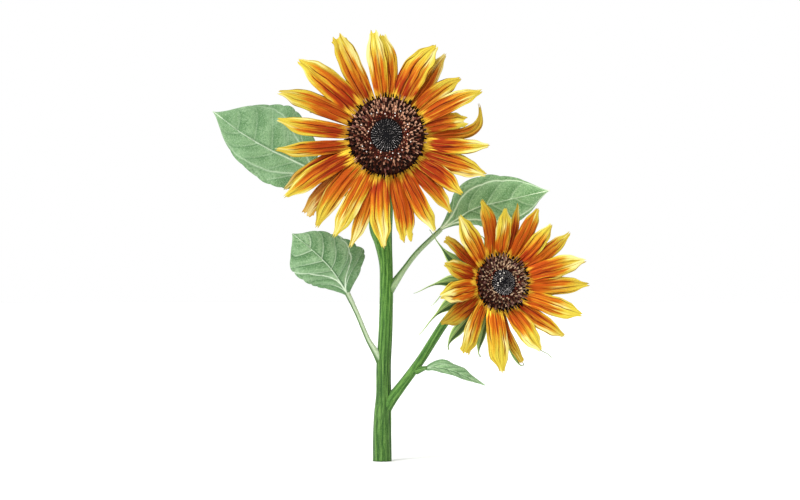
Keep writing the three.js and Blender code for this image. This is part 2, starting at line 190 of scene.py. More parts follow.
# reach is how far behind the disc a stem's curve ends, and depth is its share of the ribs' depth.
STEMS = (
    {"name": "main_stem", "stations": MAIN_STEM, "head": TOP_HEAD, "reach": 12, "ribs": 11, "depth": 1},
    {"name": "side_stem", "stations": SIDE_STEM, "head": SIDE_HEAD, "reach": 9, "ribs": 7, "depth": 0.7},
)
STEM_SEED = 9
# Every petiole's steps round it and along it, ribs, depth of its ribs, seed and start on its curve.
PETIOLE = (28, 0.8, 4, 0.22, 5, 0.04)

# Leaves: midrib points from the blade's foot to its tip, the way that the upper side looks, the petiole's
# stations up to the blade, and for each half its widths at even steps and its fold in degrees. The two
# lowest veins of each half have paths of their own, as how far up the blade they swing and how late.
LOW_PATH = (0.42, 1.1)
UPPER_VEINS = ((0.24, 0.34), (0.43, 0.28), (0.6, 0.22), (0.76, 0.15))  # start and swing
UPPER_BOW = 1.1
PLAN_LEAF_LENGTH = 95  # veins, creases and ripples are sized for a midrib of this length
# A leaf's bright is painted light on its blade and petiole, for the shade that falls on them.
# A leaf's creases sets the strength of the painted shade beside its veins and of the painted light beyond
# them.
LEAVES = [
    {
        "name": "upper_left_leaf", "phase": 15, "teeth": 0.035, "bright": 0.0, "pale_petiole": 0.4,
        "midrib_vein": 0.95, "basal_veins": 0.4, "side_veins": 0.15, "creases": 0.6,
        "basal_paths": ((0.88, 1.6), (0.88, 1.6)), "low_paths": (LOW_PATH, LOW_PATH),
        "facing": (0.1, -1, 0.25),
        "midrib": [(-48, 9, 218.5), (-68, 10, 228.5), (-88, 12, 238), (-108, 15, 250), (-130.3, 20, 267)],
        "halves": [((3, 20, 24.3, 22.5, 19.3, 11, 0.3), 8), ((3, 24.5, 38, 44, 41, 27, 0.3), 18)],
        "petiole": [(0, 3, 184, 2.8), (-12, 7, 193, 2.3), (-30, 9, 205.5, 1.9), (-50, 9.1, 219.8, 1.5)],
    },
    {
        "name": "lower_left_leaf", "phase": 15, "teeth": 0.06, "bright": 0.0, "pale_petiole": 1.0,
        "midrib_vein": 1.0, "basal_veins": 1.0, "side_veins": 0.5, "creases": 1.0,
        "basal_paths": ((0.75, 0.55), (0.63, 0.95)), "low_paths": (LOW_PATH, (0.36, 1.0)),
        "facing": (-0.05, -1, 0.15),
        "midrib": [
            (-26, -5.5, 126.5), (-33.5, -7, 138.5), (-40, -8, 147.5), (-52.5, -8.5, 160), (-68.3, -6, 173)
        ],
        "halves": [((1.5, 9, 16.8, 20.2, 22.5, 20, 0.3), 12), ((1.5, 17.5, 29, 27.6, 22.5, 15, 0.3), 14)],
        "petiole": [
            (0.5, 2, 71, 3.4), (-4.4, 0.8, 81.5, 2.8), (-10.5, -1.2, 92, 1.9), (-19, -3.8, 112, 1.7),
            (-26.6, -5.6, 128, 2),
        ],
    },
    {
        "name": "upper_right_leaf", "phase": 16, "teeth": 0.05, "bright": 0.45, "pale_petiole": 0.55,
        "midrib_vein": 1.0, "basal_veins": 0.95, "side_veins": 0.2, "creases": 0.6,
        "basal_paths": ((1.3, 2.0), (1.3, 2.0)), "low_paths": (LOW_PATH, LOW_PATH),
        "facing": (0.1, -1, 0.1),
        "midrib": [
            (43.5, 9, 175.5), (56, 9.5, 183.5), (70, 10.5, 192), (97, 13.5, 199), (128.6, 20, 206.4)
        ],
        "halves": [((1.2, 6.5, 14.5, 22.9, 24.5, 16.5, 0.3), 20), ((0.8, 3, 8, 15.3, 20.5, 16.5, 0.3), 24)],
        "petiole": [
            (2, 5, 124, 3.8), (9.8, 5.6, 136, 3.1), (16.8, 6.3, 146, 2.1), (26.2, 7.4, 158.2, 1.85),
            (44.8, 9.1, 176.3, 1.7),
        ],
    },
    {
        "name": "side_stem_leaf", "phase": 14, "teeth": 0.03, "bright": 0.3, "pale_petiole": 0.1,
        "midrib_vein": 0.5, "basal_veins": 0.3, "side_veins": 0.3, "creases": 1.0,
        "basal_paths": ((0.78, 1.0), (0.78, 1.0)), "low_paths": (LOW_PATH, LOW_PATH),
        "facing": (0.1, -0.8, 0.6),
        "midrib": [
            (31.5, -7.5, 70), (40, -11.5, 71.6), (52, -16, 69.4), (64, -19, 64.6), (77.4, -20, 58.4)
        ],
        "halves": [((0.8, 7.6, 10, 8.6, 7.2, 4, 0.3), 14), ((0.8, 5.5, 8, 8.5, 7, 4, 0.3), -36)],
        "petiole": [(25.5, -4.3, 68.5, 3), (30, -6.6, 70.2, 2.2), (34, -8.8, 71.4, 1.3)],
    },
]

ROOT_GAP = 0.3  # between a ray's root and its cup's rim
RAY_ROOT_HEIGHT = -0.95
RAY_ROW_DROP = 1.4
RAY_ROW_SPREAD = 1.2
ROW_DEPTHS = (0.0, 0.25, 0.8)  # how deep in the shade the rays of each row are
BRACT_ROOT_INSET = 4
BRACT_ROOT_HEIGHT = -7
BRACT_THICKNESS = 0.6
BRACT_SEED = 50
# A blade's outline: how broad it is at its root, where it is widest, how it tapers and how its tip narrows.
# arch is how far its margins bend down, thinning how much thinner they are, and steps how finely it is made
# along and across. The shoulders of rays are fuller than those of the solids, and the ends of bracts are
# thinner and bent further.
RAY_FORM = {
    "root_share": 0.68, "belly": 0.52, "taper": 0.62, "beak": (0.48, 0.76, 0.95), "arch": 0.1,
    "thinning": 0.55, "steps": (56, 33),
}
BRACT_FORM = {
    "root_share": 0.85, "belly": 0.38, "taper": 1.0, "beak": (0.8, 0.42, 0.74), "arch": 0.25,
    "thinning": 0.5, "steps": (40, 13),
}
# The width of each kind of tip, and the depth of its notch.
TIPS = {"pointed": (0, 0), "broad": (0.3, 0.02), "notched": (0.5, 0.08), "blunt": (0.55, 0.02)}

# ---- arrays and meshes ----


def linear(code):
    """A colour written #rrggbb, as the linear red, green and blue that Blender works in."""
    parts = [int(code[i : i + 2], 16) / 255 for i in (1, 3, 5)]
    return tuple(c / 12.92 if c <= 0.04045 else ((c + 0.055) / 1.055) ** 2.4 for c in parts)


def unit(vectors):
    return vectors / np.maximum(np.linalg.norm(vectors, axis=-1, keepdims=True), 1e-12)


def smoothstep(low, high, x):
    share = np.clip((x - low) / (high - low), 0, 1)
    return share * share * (3 - 2 * share)


def spline(stations, t):
    """Points at t from 0 to 1 on the centripetal curve through the stations. A fourth column rides along."""
    stations = np.asarray(stations, float)
    ends = np.vstack([2 * stations[0] - stations[1], stations, 2 * stations[-1] - stations[-2]])
    place = np.clip(t, 0, 1) * (len(stations) - 1)
    i = np.minimum(place.astype(int), len(stations) - 2)
    w = (place - i)[..., None]
    p0, p1, p2, p3 = (ends[i + k] for k in range(4))
    d0, d1, d2 = (
        np.maximum(((b - a)[..., :3] ** 2).sum(-1, keepdims=True) ** 0.25, 1e-4)
        for a, b in ((p0, p1), (p1, p2), (p2, p3))
    )
    out_of_p1 = ((p1 - p0) / d0 - (p2 - p0) / (d0 + d1) + (p2 - p1) / d1) * d1
    into_p2 = ((p2 - p1) / d1 - (p3 - p1) / (d1 + d2) + (p3 - p2) / d2) * d1
    square, cube = w * w, w * w * w
    return (
        p1
        + out_of_p1 * w
        + (-3 * p1 + 3 * p2 - 2 * out_of_p1 - into_p2) * square
        + (2 * p1 - 2 * p2 + out_of_p1 + into_p2) * cube
    )


def grid_faces(rows, columns, offset=0, wrap=False, flip=False):
    """Quads of a grid of rows by columns of vertices. wrap joins its last column to its first."""
    r, c = np.meshgrid(np.arange(rows - 1), np.arange(columns if wrap else columns - 1), indexing="ij")
    after = (c + 1) % columns
    row, next_row = r * columns, (r + 1) * columns
    quads = np.stack([row + c, row + after, next_row + after, next_row + c], -1).reshape(-1, 4) + offset
    return quads[:, ::-1] if flip else quads


def capped_faces(rings, around, foot=True):
    """Faces of a tube of rings, with a fan over its head and, with foot, another one over its foot.

    The middles of the fans come after the rings' vertices, the foot's first.
    """
    ring = np.arange(around)
    last = ring + (rings - 1) * around
    middle = rings * around
    faces = [grid_faces(rings, around, wrap=True)]
    if foot:
        faces.append(np.stack([np.full(around, middle), np.roll(ring, -1), ring], -1))
    faces.append(np.stack([np.full(around, middle + foot), last, np.roll(last, -1)], -1))
    return faces


def turned(profile, around, bow=0.0, foot=True):
    """Vertices and faces of (radius, height) pairs turned round Z. bow bends them to X as they rise."""
    profile = np.asarray(profile, float)
    angle = np.linspace(0, 2 * math.pi, around, endpoint=False)
    radius, height = profile[:, :1], profile[:, 1:]
    points = np.stack(
        [radius * np.cos(angle) + bow * height**2, radius * np.sin(angle), height + 0 * angle], -1
    )
    ends = profile[[0, -1] if foot else [-1], 1]
    middles = np.stack([bow * ends**2, 0 * ends, ends], -1)
    return np.concatenate([points.reshape(-1, 3), middles]), capped_faces(len(profile), around, foot)


def make_piece(
    name, vertices, faces, materials, uv=None, attributes=None, face_material=None, nodes=()
):
    """A smooth mesh object. vertices are in millimetres, and faces is a list of arrays of their numbers.

    An attribute has a number for each vertex, or one for all of them.
    """
    mesh = bpy.data.meshes.new(name)
    mesh.vertices.add(len(vertices))
    mesh.vertices.foreach_set("co", (np.asarray(vertices, np.float32) * MM).ravel())
    corners = np.concatenate([f.ravel() for f in faces]).astype(np.int32)
    sizes = np.concatenate([np.full(len(f), f.shape[1]) for f in faces])
    starts = np.concatenate([[0], np.cumsum(sizes)[:-1]]).astype(np.int32)
    mesh.loops.add(len(corners))
    mesh.loops.foreach_set("vertex_index", corners)
    mesh.polygons.add(len(sizes))
    mesh.polygons.foreach_set("loop_start", starts)
    mesh.polygons.foreach_set("use_smooth", np.ones(len(sizes), bool))
    for material in materials:
        mesh.materials.append(material)
    if face_material is not None:
        mesh.polygons.foreach_set("material_index", np.asarray(face_material, np.int32))
    mesh.update(calc_edges=True)
    if uv is not None:
        mesh.uv_layers.new(name=GRAIN).data.foreach_set("uv", np.asarray(uv, np.float32)[corners].ravel())
    for key, values in (attributes or {}).items():
        attribute = mesh.attributes.new(key, "FLOAT", "POINT")
        attribute.data.foreach_set("value", np.full(len(vertices), values, np.float32))
    piece = bpy.data.objects.new(name, mesh)
    bpy.context.scene.collection.objects.link(piece)
    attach(piece, BODY)
    if nodes:
        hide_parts(*nodes)
    return piece


def blade_grid(steps):
    """Places along a blade, from 0 to 1, and across it, from -1 to 1."""
    return np.meshgrid(np.linspace(0, 1, steps[0]), np.linspace(-1, 1, steps[1]), indexing="ij")


def blade_arrays(points, thickness, grids):
    """Vertices and faces of a thin closed blade round a grid of points, and the grids' values on it."""
    rows, columns = points.shape[:2]
    normal = unit(np.cross(np.gradient(points, axis=1), np.gradient(points, axis=0)))
    half = (thickness / 2)[..., None] * normal
    vertices = np.concatenate([(points + half).reshape(-1, 3), (points - half).reshape(-1, 3)])
    count = rows * columns
    index = np.arange(count).reshape(rows, columns)
    rim = np.concatenate([index[0, :-1], index[:-1, -1], index[-1, :0:-1], index[:0:-1, 0]])
    after = np.roll(rim, -1)
    sides = np.stack([rim, rim + count, after + count, after], -1)
    faces = [grid_faces(rows, columns, flip=True), grid_faces(rows, columns, count), sides[:, ::-1]]
    values = [np.concatenate([v.ravel(), v.ravel()]) for v in grids]
    return vertices, faces, values


def join_arrays(parts):
    """Parts of (vertices, faces, values...) as one, with their faces' indices moved on."""
    vertices = np.concatenate([p[0] for p in parts])
    steps = np.cumsum([0] + [len(p[0]) for p in parts])
    faces = [f + step for p, step in zip(parts, steps) for f in p[1]]
    values = [np.concatenate(columns) for columns in zip(*(p[2:] for p in parts))]
    return (vertices, faces, *values)


# ---- heads ----


def head_matrix(head):
    """Rotation of a head's own frame, whose Z axis is the way it faces, into the plant's frame."""
    turn, tip = math.radians(head["turn"]), math.radians(90 - head["lift"])
    cos, sin = math.cos(turn), math.sin(turn)
    about_z = np.array([[cos, -sin, 0], [sin, cos, 0], [0, 0, 1]])
    cos, sin = math.cos(tip), math.sin(tip)
    return about_z @ np.array([[1, 0, 0], [0, cos, -sin], [0, sin, cos]])


def placed(head, points):
    """Points of a head's own frame, in the plant's frame."""
    return points @ head_matrix(head).T + np.array(head["centre"])


def seen_to_head(head, x, z, height):
    """The point at that height over the disc which is seen at x and z from the front."""
    turn, lift = math.radians(head["turn"]), math.radians(head["lift"])
    upward = (z - height * math.sin(lift)) / math.cos(lift)
    right = x + upward * math.sin(turn) * math.sin(lift) - height * math.sin(turn) * math.cos(lift)
    return np.array([right / math.cos(turn), upward, height])


def outward_at(bearing):
    """Unit vectors that lie level in a head's frame, at those bearings."""
    return np.stack([np.cos(bearing), np.sin(bearing), 0 * bearing], -1)


def midline(head, spec, root_radius, height_at):
    """The line of a ray or bract from its root on the rim to its tip, as a function of s from 0 to 1."""

    def seen(degrees, radius, height):
        bearing = math.radians(degrees)
        return seen_to_head(head, radius * math.cos(bearing), radius * math.sin(bearing), height)

    root = seen(spec["angle"], root_radius, float(height_at(0.0)))
    tip = seen(spec["angle"] + spec["lean"], spec["reach"], float(height_at(1.0)))
    tip_radius = math.hypot(tip[0], tip[1])
    start = math.atan2(root[1], root[0])
    turn = math.atan2(root[0] * tip[1] - root[1] * tip[0], root[0] * tip[0] + root[1] * tip[1])

    def line(s):
        bearing = start + turn * s**1.2 + math.radians(spec["hook"]) * s**4
        outward = np.sin(math.pi / 2 * s) if spec["hook"] else s
        radius = root_radius + (tip_radius - root_radius) * outward
        return np.stack([radius * np.cos(bearing), radius * np.sin(bearing), height_at(s)], -1)

    return line


def directions(line, s, facing):
    """Unit vectors across a blade and up from it, where the line is at s."""
    step = 0.01
    along = unit(line(np.minimum(1, s + step)) - line(np.maximum(0, s - step)))
    across = unit(np.cross(np.broadcast_to(facing, along.shape), along))
    return across, np.cross(along, across)


def swell(s, form):
    """Half-width at s as a share of the widest: a swelling foot, full shoulders and a short beak."""
    belly = form["belly"]
    rising = form["root_share"] + (1 - form["root_share"]) * np.sin(math.pi / 2 * np.minimum(s / belly, 1))
    falling = np.cos(math.pi / 2 * np.clip((s - belly) / (1 - belly), 0, 1)) ** form["taper"]
    narrowing, first, last = form["beak"]
    return np.where(s < belly, rising, falling * (1 - narrowing * smoothstep(first, last, s)))


def petal_grid(spec, line, form, seed, pleat, wave, curl, sway, ragged=0.0, whip=0.0):
    """Points of a ray's or bract's middle surface in its head's frame, with s and v for each.

    pleat, wave and curl lift it, sway bends it sideways, whip bends its end only, and ragged nicks its tip.
    """
    end_width, notch = TIPS[spec["tip"]]
    random = np.random.default_rng(seed)
    phase = random.uniform(0, 2 * math.pi, 6)
    bend, tip_bend = random.uniform(-sway, sway, 2)
    lash = whip * random.uniform(0.3, 1)
    s, v = blade_grid(form["steps"])
    side = np.sign(v)
    teeth = 0.5 + 0.3 * np.sin(5 * v + phase[0]) + 0.2 * np.sin(11 * v + phase[4])
    nick = ragged * s**14 * teeth
    toothed = np.maximum(0, s - notch * s**6 * np.abs(2 * np.abs(v) - 1) - nick)
    across, up = directions(line, toothed, UP)
    lopsided = 1 + 0.1 * np.sin(phase[0]) * side * np.sin(math.pi * s)
    margin = np.sin(9 * s + phase[1] + 2.1 * side) + 0.6 * np.sin(21 * s + phase[5] - 1.3 * side)
    end = end_width * s**4 + 0.17 * (ragged > 0) * s**8
    widest = spec["width"] / 2
    half = np.maximum(0.08, widest * (swell(s, form) + end) * lopsided * (1 + 0.07 * margin * s))
    full = np.sin(math.pi * np.clip(s, 0, 1) ** 0.8)
    lift = -form["arch"] * half * v * v
    lift = lift + pleat * full * (half / widest) * np.cos(3 * math.pi * v + phase[3]) * (1 - 0.35 * v * v)
    lift = lift + 0.12 * pleat * full * np.cos(13 * math.pi * v + phase[2])
    lift = lift + wave * v * v * np.sin(2 * math.pi * (1.6 * s + 0.25 * side) + phase[3]) * full
    lift = lift + curl * smoothstep(0.7, 1, s) * (0.4 + 0.6 * np.abs(v))
    sideways = v * half + bend * np.sin(math.pi * s) + tip_bend * smoothstep(0.75, 1, s)
    sideways = sideways + lash * smoothstep(0.45, 1, s) ** 2
    return line(toothed) + across * sideways[..., None] + up * lift[..., None], s, v


def petal_arrays(head, spec, line, form, seed, thickness, **bends):
    """Vertices, faces and Grain of a ray or bract. bends are those that petal_grid takes."""
    points, s, v = petal_grid(spec, line, form, seed, **bends)
    thickness = thickness * (1 - form["thinning"] * v**4) * (1 - 0.5 * s**3)
    vertices, faces, (s, v) = blade_arrays(placed(head, points), thickness, (s, v))
    return vertices, faces, np.stack([(v + 1) / 2, s], -1)


def ray_line(head, spec):
    root_radius = head["rim_radius"] + ROOT_GAP
    length = spec["reach"] - root_radius

    def height_at(s):
        spread = RAY_ROW_DROP + RAY_ROW_SPREAD * np.minimum(1, s / 0.4)
        return RAY_ROOT_HEIGHT - spec["row"] * spread + length * (head["rise"] * s - head["sag"] * s * s)

    return midline(head, spec, root_radius, height_at)


def bract_line(head, spec):
    root_radius = head["rim_radius"] - BRACT_ROOT_INSET
    length = spec["reach"] - root_radius
    return midline(head, spec, root_radius, lambda s: BRACT_ROOT_HEIGHT + length * (0.2 * s - 0.3 * s * s))


def dome_profile(head):
    """Radius and height of the disc's ring and button from the rim inwards, as their solids have them."""
    radius, height, button = head["disc_radius"], head["dome_height"], head["button_radius"]
    seat = button + 0.3
    shoulder = radius - seat
    ring = [(radius * 0.965, 0.3), (radius, height * 0.2), (radius * 0.965, height * 0.5)]
    ring += [(seat + shoulder * out, height * up) for out, up in ((0.72, 0.86), (0.42, 1), (0.14, 0.94))]
    ring.append((seat, height * 0.72))
    top = [(button, height * 0.42 + 0.3)]
    top += [(button * out, height * up) for out, up in ((0.97, 0.78), (0.7, 0.98), (0.35, 1.06))]
    return ring, top + [(0.4, height * 1.08)]


def disc_surface(head, radius):
    """Height of the disc and its slope at a radius."""
    ring, button = dome_profile(head)
    known = np.array([*ring[1:], *button[1:]])[::-1]
    height = np.interp(radius, known[:, 0], known[:, 1])
    step = 0.4
    outer, inner = (np.interp(radius + off, known[:, 0], known[:, 1]) for off in (step, -step))
    return height, (outer - inner) / (2 * step)


def on_disc(head, radius, bearing):
    """Places on the disc, the ways outward from its middle there, and its slopes."""
    height, slope = disc_surface(head, radius)
    outward = outward_at(bearing)
    place = outward * radius[:, None]
    place[:, 2] = height
    return place, outward, slope


def spiral(spacing, inner, outer):
    """Polar places of florets on a golden-angle spiral between two radii, about that far apart."""
    pitch = spacing * SPIRAL_PITCH
    first, last = int((inner / pitch) ** 2), int((outer / pitch) ** 2)
    n = np.arange(first, last) + 0.5
    return pitch * np.sqrt(n), np.radians(GOLDEN_ANGLE) * n


def scattered(template, faces, places, axes, toward, sizes):
    """Copies of a small template, each with its Z axis along axes and its X axis nearest to toward."""
    y_axes = unit(np.cross(axes, toward))
    x_axes = np.cross(y_axes, axes)
    scaled = template[None] * sizes[:, None]
    copies = (
        places[:, None]
        + scaled[..., :1] * x_axes[:, None]
        + scaled[..., 1:2] * y_axes[:, None]
        + scaled[..., 2:] * axes[:, None]
    )
    step = (np.arange(len(places)) * len(template))[:, None, None]
    return copies.reshape(-1, 3), [(f[None] + step).reshape(-1, f.shape[1]) for f in faces]


# ---- materials ----


class Value:
    """What a node gives. Arithmetic with it adds the nodes that work it out."""

    def __init__(self, finish, socket):
        self.finish = finish
        self.socket = socket

    def maths(self, operation, *terms):
        node = self.finish.add("ShaderNodeMath", dict(enumerate(terms)), operation=operation)
        return Value(self.finish, node.outputs[0])

    def __add__(self, other):
        return self.maths("ADD", self, other)

    def __sub__(self, other):
        return self.maths("SUBTRACT", self, other)

    def __rsub__(self, other):
        return self.maths("SUBTRACT", other, self)

    def __mul__(self, other):
        return self.maths("MULTIPLY", self, other)

    def __abs__(self):
        return self.maths("ABSOLUTE", self)

    def between(self, low, high):
        """0 below low and 1 above high, with a soft step from one to the other."""
        inputs = {"Value": self, "From Min": low, "From Max": high}
        node = self.finish.add("ShaderNodeMapRange", inputs, interpolation_type="SMOOTHSTEP")
        return Value(self.finish, node.outputs[0])


class Finish:
    """A node material whose base colour is painted in layers."""

    def __init__(self, name, roughness, specular=0.3, sheen=0.0):
        self.material = bpy.data.materials.new(name)
        self.material.use_nodes = True
        self.tree = self.material.node_tree
        self.shader = self.tree.nodes["Principled BSDF"]
        self.set_inputs(
            self.shader, {"Roughness": roughness, "Specular IOR Level": specular, "Sheen Weight": sheen}
        )
        self.base = None

    def set_inputs(self, node, inputs):
        for key, value in inputs.items():
            if isinstance(value, Value):
                self.tree.links.new(value.socket, node.inputs[key])
            else:
                node.inputs[key].default_value = value

    def add(self, kind, inputs, **settings):
        node = self.tree.nodes.new(kind)
        for key, value in settings.items():
            setattr(node, key, value)
        self.set_inputs(node, inputs)
        return node

    def attribute(self, name):
        return Value(self, self.add("ShaderNodeAttribute", {}, attribute_name=name).outputs["Fac"])

    def grain(self):
        """The two coordinates of the Grain map."""
        uv = Value(self, self.add("ShaderNodeUVMap", {}, uv_map=GRAIN).outputs[0])
        split = self.add("ShaderNodeSeparateXYZ", {0: uv})
        return Value(self, split.outputs[0]), Value(self, split.outputs[1])

    def at(self, x, y=0.0, z=0.0):
        return Value(self, self.add("ShaderNodeCombineXYZ", {0: x, 1: y, 2: z}).outputs[0])

    def object_place(self):
        return Value(self, self.add("ShaderNodeTexCoord", {}).outputs["Object"])

    def noise(self, place, scale, detail=2.0, roughness=0.5):
        inputs = {"Vector": place, "Scale": scale, "Detail": detail, "Roughness": roughness}
        return Value(self, self.add("ShaderNodeTexNoise", inputs).outputs["Fac"])

    def ramp(self, value, *stops):
        """The colour at value, from stops of a position and a colour."""
        node = self.add("ShaderNodeValToRGB", {0: value})
        bands = node.color_ramp.elements
        bands[0].position, bands[1].position = stops[0][0], stops[-1][0]
        bands[0].color, bands[1].color = (*stops[0][1], 1), (*stops[-1][1], 1)
        for position, colour in stops[1:-1]:
            bands.new(position).color = (*colour, 1)
        return Value(self, node.outputs[0])

    def mix(self, share, first, second, blend="MIX"):
        """Two colours mixed by the second one's share."""
        first, second = (c if isinstance(c, Value) else (*c, 1) for c in (first, second))
        inputs = {0: share, 6: first, 7: second}
        return Value(self, self.add("ShaderNodeMix", inputs, data_type="RGBA", blend_type=blend).outputs[2])

    def paint(self, share, colour):
        """Lay a colour over the base by its share."""
        self.base = self.mix(share, self.base, colour)

    def tone(self, share, factors):
        """Multiply the base by factors for red, green and blue, by their share."""
        self.base = self.mix(share, self.base, factors, "MULTIPLY")

    def done(self, height=None, depth_mm=0.0, strength=1.0):
        """The material with its base colour, and with relief from height."""
        self.set_inputs(self.shader, {"Base Color": self.base})
        if height:
            inputs = {"Height": height, "Distance": depth_mm * MM, "Strength": strength}
            bump = self.add("ShaderNodeBump", inputs)
            self.set_inputs(self.shader, {"Normal": Value(self, bump.outputs[0])})
        return self.material


def dimmed(colour, *shares):
    """A colour with its red, green and blue taken by their shares."""
    return tuple(c * share for c, share in zip(colour, shares * 3 if len(shares) == 1 else shares))


def ray_finish(colours):
    """Brick red and orange with lemon margins, tip and foot in fingers, and a few dark veins along it, with
    painted light towards the foot and painted shade on the back rows.
    """
    f = Finish("ray", roughness=0.6, specular=0.08)
    u, s = f.grain()
    vary, deep = f.attribute("vary"), f.attribute("deep")
    v = u * 2 - 1
    edge = abs(v)
    seed = vary * 37

    def streaks(across, along, shift, detail=2.0):
        return f.noise(f.at(u * across, s * along, seed + shift), 1.0, detail)

    drift, broad, fine = streaks(2.2, 2.0, 11), streaks(7, 1, 0), streaks(22, 2.5, 5, 3.0)
    # How ripe the yellow is: from none in the heart to full at the tip, and more in the margins and by gold.
    ripe = s + (drift - 0.5) * 0.5 + (broad - 0.5) * 0.8 + (fine - 0.5) * 0.5
    tipward = s + (fine - 0.5) * 0.5 + (drift - 0.5) * 0.5 + (edge - 0.5) * 0.08
    margin = edge.between(0.5, 1) * (s * 0.68 + 0.05)
    ripe = ripe + tipward.between(0.6, 0.84) * 0.17 + margin * drift.between(0.25, 0.6)
    # deep takes yellow from the rays of the back rows: painted shade.
    ripe = ripe + f.attribute("gold") * 0.35 + deep * -0.2
    heart = f.mix(vary.between(0.25, 0.75), colours.brick, colours.heart)
    orange = f.ramp(ripe, (0.34, colours.glow), (0.58, colours.orange))
    f.base = f.mix(ripe.between(0.24, 0.5), heart, orange)
    f.paint(ripe.between(0.54, 0.66), colours.gold)
    f.paint(ripe.between(0.68, 0.92), colours.tip)
    foot = s + (fine - 0.5) * 0.2 + (broad - 0.5) * 0.25 - edge * 0.1
    f.paint((1 - foot.between(-0.01, 0.1)) * f.attribute("footed"), colours.foot)
    f.paint(streaks(18, 2, 15).between(0.56, 0.64) * 0.55, colours.gold)
    f.tone(streaks(14, 1.5, 31).between(0.54, 0.62) * 0.6, (0.5, 0.34, 0.2))
    grit = f.noise(f.at(u * 26, s * 70, seed), 1.0).between(0.35, 0.65)
    f.tone(grit * 0.22, (0.3, 0.25, 0.2))
    f.paint(f.attribute("faded"), colours.faded)
    f.paint(streaks(2.6, 1.4, 9).between(0.5, 0.64) * ripe.between(0.6, 0.82) * 0.6, colours.pale)
    rank = v * 1.6 + (drift - 0.5) * 1.1 + vary * 7
    vein = 1 - abs(rank.maths("FRACT", rank) - 0.5).between(0.03, 0.085)
    shown = streaks(3, 2.5, 21).between(0.3, 0.5) * s.between(0.02, 0.12) * (1 - s.between(0.7, 1))
    f.tone(vein.maths("MAXIMUM", vein * shown, edge.between(0.92, 1) * 0.25), (0.24, 0.1, 0.05))
    # Painted shade: the rays of the back rows are darkened by how deep in the shade their row is, with the
    # colour that the settings call Vein.
    f.paint(deep * 0.45, colours.vein)
    # Painted light: the bright attribute lightens the rays, most towards the foot, where the disc shades
    # them and the side head's steep rays turn from the light.
    inner = s.maths("POWER", 1 - s, 3.0)
    f.tone(f.attribute("bright") * s.maths("MAXIMUM", inner, 0.17), (2.2, 2.2, 2.2))
    f.tone(0.12, (2.0, 2.0, 2.0))
    return f.done(fine - vein * 0.6, 0.25, 0.8)


def leaf_finish(colours):
    """Grey-green blade, mottled, with pale veins, painted shade along its creases and painted light beyond
    them.
    """
    f = Finish("leaf", roughness=0.65, specular=0.15, sheen=0.1)
    place = f.at(*f.grain())
    mottle = f.noise(place, 34.0, 3.0, 0.75)
    f.base = f.ramp(
        f.noise(place, 4.0, 3.0), (0.15, colours.shade), (0.5, colours.blade), (0.8, colours.light)
    )
    f.paint(mottle.between(0.47, 0.6) * 0.7, colours.shade)
    f.paint(f.noise(place, 70.0, 2.0, 0.6).between(0.52, 0.64) * 0.62, colours.light)
    # Painted light on each panel away from its vein, and painted shade in the creases beside the veins.
    f.paint(f.attribute("lit") * 0.4, colours.light)
    f.paint(f.attribute("crease_shade") * 0.95, colours.crease_shade)
    f.paint(f.attribute("vein"), colours.vein)
    # Painted light: the bright attribute lightens the leaves that lie in shade.
    f.tone(f.attribute("bright"), (1.8, 1.8, 1.6))
    return f.done(mottle, 0.25, 0.8)


def stem_finish(name, colours, fades=False):
    """Green skin with long darker and paler streaks, a painted highlight on the rib crests and painted shade
    in the grooves. With fades it turns pale by its pale attribute, on one side of its round.
    """
    f = Finish(name, roughness=0.6, specular=0.2, sheen=0.1)
    u, v = f.grain()
    rib = f.attribute("rib")
    streaks = f.noise(f.at(u * 16, v * 0.9), 1.0, 4.0, 0.7)
    fine = f.noise(f.at(u * 46, v * 2.2), 1.0, 3.0, 0.6)
    grit = f.noise(f.at(u * 60, v * 26), 1.0, 2.0, 0.6)
    f.base = f.ramp(streaks, (0.36, colours.shade), (0.5, colours.skin), (0.68, colours.light))
    f.paint(fine.between(0.48, 0.6) * 0.75, colours.shade)
    f.paint(grit.between(0.54, 0.64) * 0.6, colours.light)
    # Painted highlight on the rib crests and painted shade in the grooves between them.
    f.paint(rib.between(0.65, 1) * 0.22, colours.light)
    f.paint((1 - rib.between(0.05, 0.4)) * (fine.between(0.38, 0.6) * 0.85), colours.shade)
    # Petioles fade to their own pale green on one side of the round only, where it is also a painted
    # highlight.
    if fades:
        fading = f.attribute("pale") * (v + streaks).between(0.5, 1.1)
        f.paint(fading * (u + fine * 0.3).between(0.95, 0.6), colours.petiole)
    # Painted light: the bright attribute lightens stems and petioles where the heads shade them.
    f.tone(f.attribute("bright"), (2.0, 2.0, 1.9))
    return f.done(streaks + fine, 0.35, 0.7)


def bract_finish(colours):
    """Green bract, pale along its edge and midrib, streaked lengthwise, with painted shade on one half and
    darker towards its root.
    """
    f = Finish("bract", roughness=0.6, specular=0.25, sheen=0.25)
    u, s = f.grain()
    edge = abs(u * 2 - 1)
    streaks = f.noise(f.at(u * 9, s * 2), 1.0, 3.0)
    f.base = f.ramp(streaks, (0.34, colours.shade), (0.48, colours.bract), (0.64, colours.light))
    # Painted shade on one half of the bract, as if it were folded.
    f.paint(u.between(0.36, 0.55) * (1 - u.between(0.8, 0.95)) * 0.95, colours.shade)
    f.paint(edge.between(0.68, 0.95) * 0.75, colours.light)
    f.paint((1 - edge.between(0.02, 0.1)) * 0.5, colours.light)
    f.paint((1 - s.between(0.4, 0.75)) * 0.25, colours.shade)
    f.tone(0.25, (2.2, 2.2, 1.6))
    f.paint(s.between(0.6, 1) * 0.25, colours.light)
    return f.done(streaks, 0.2, 0.6)


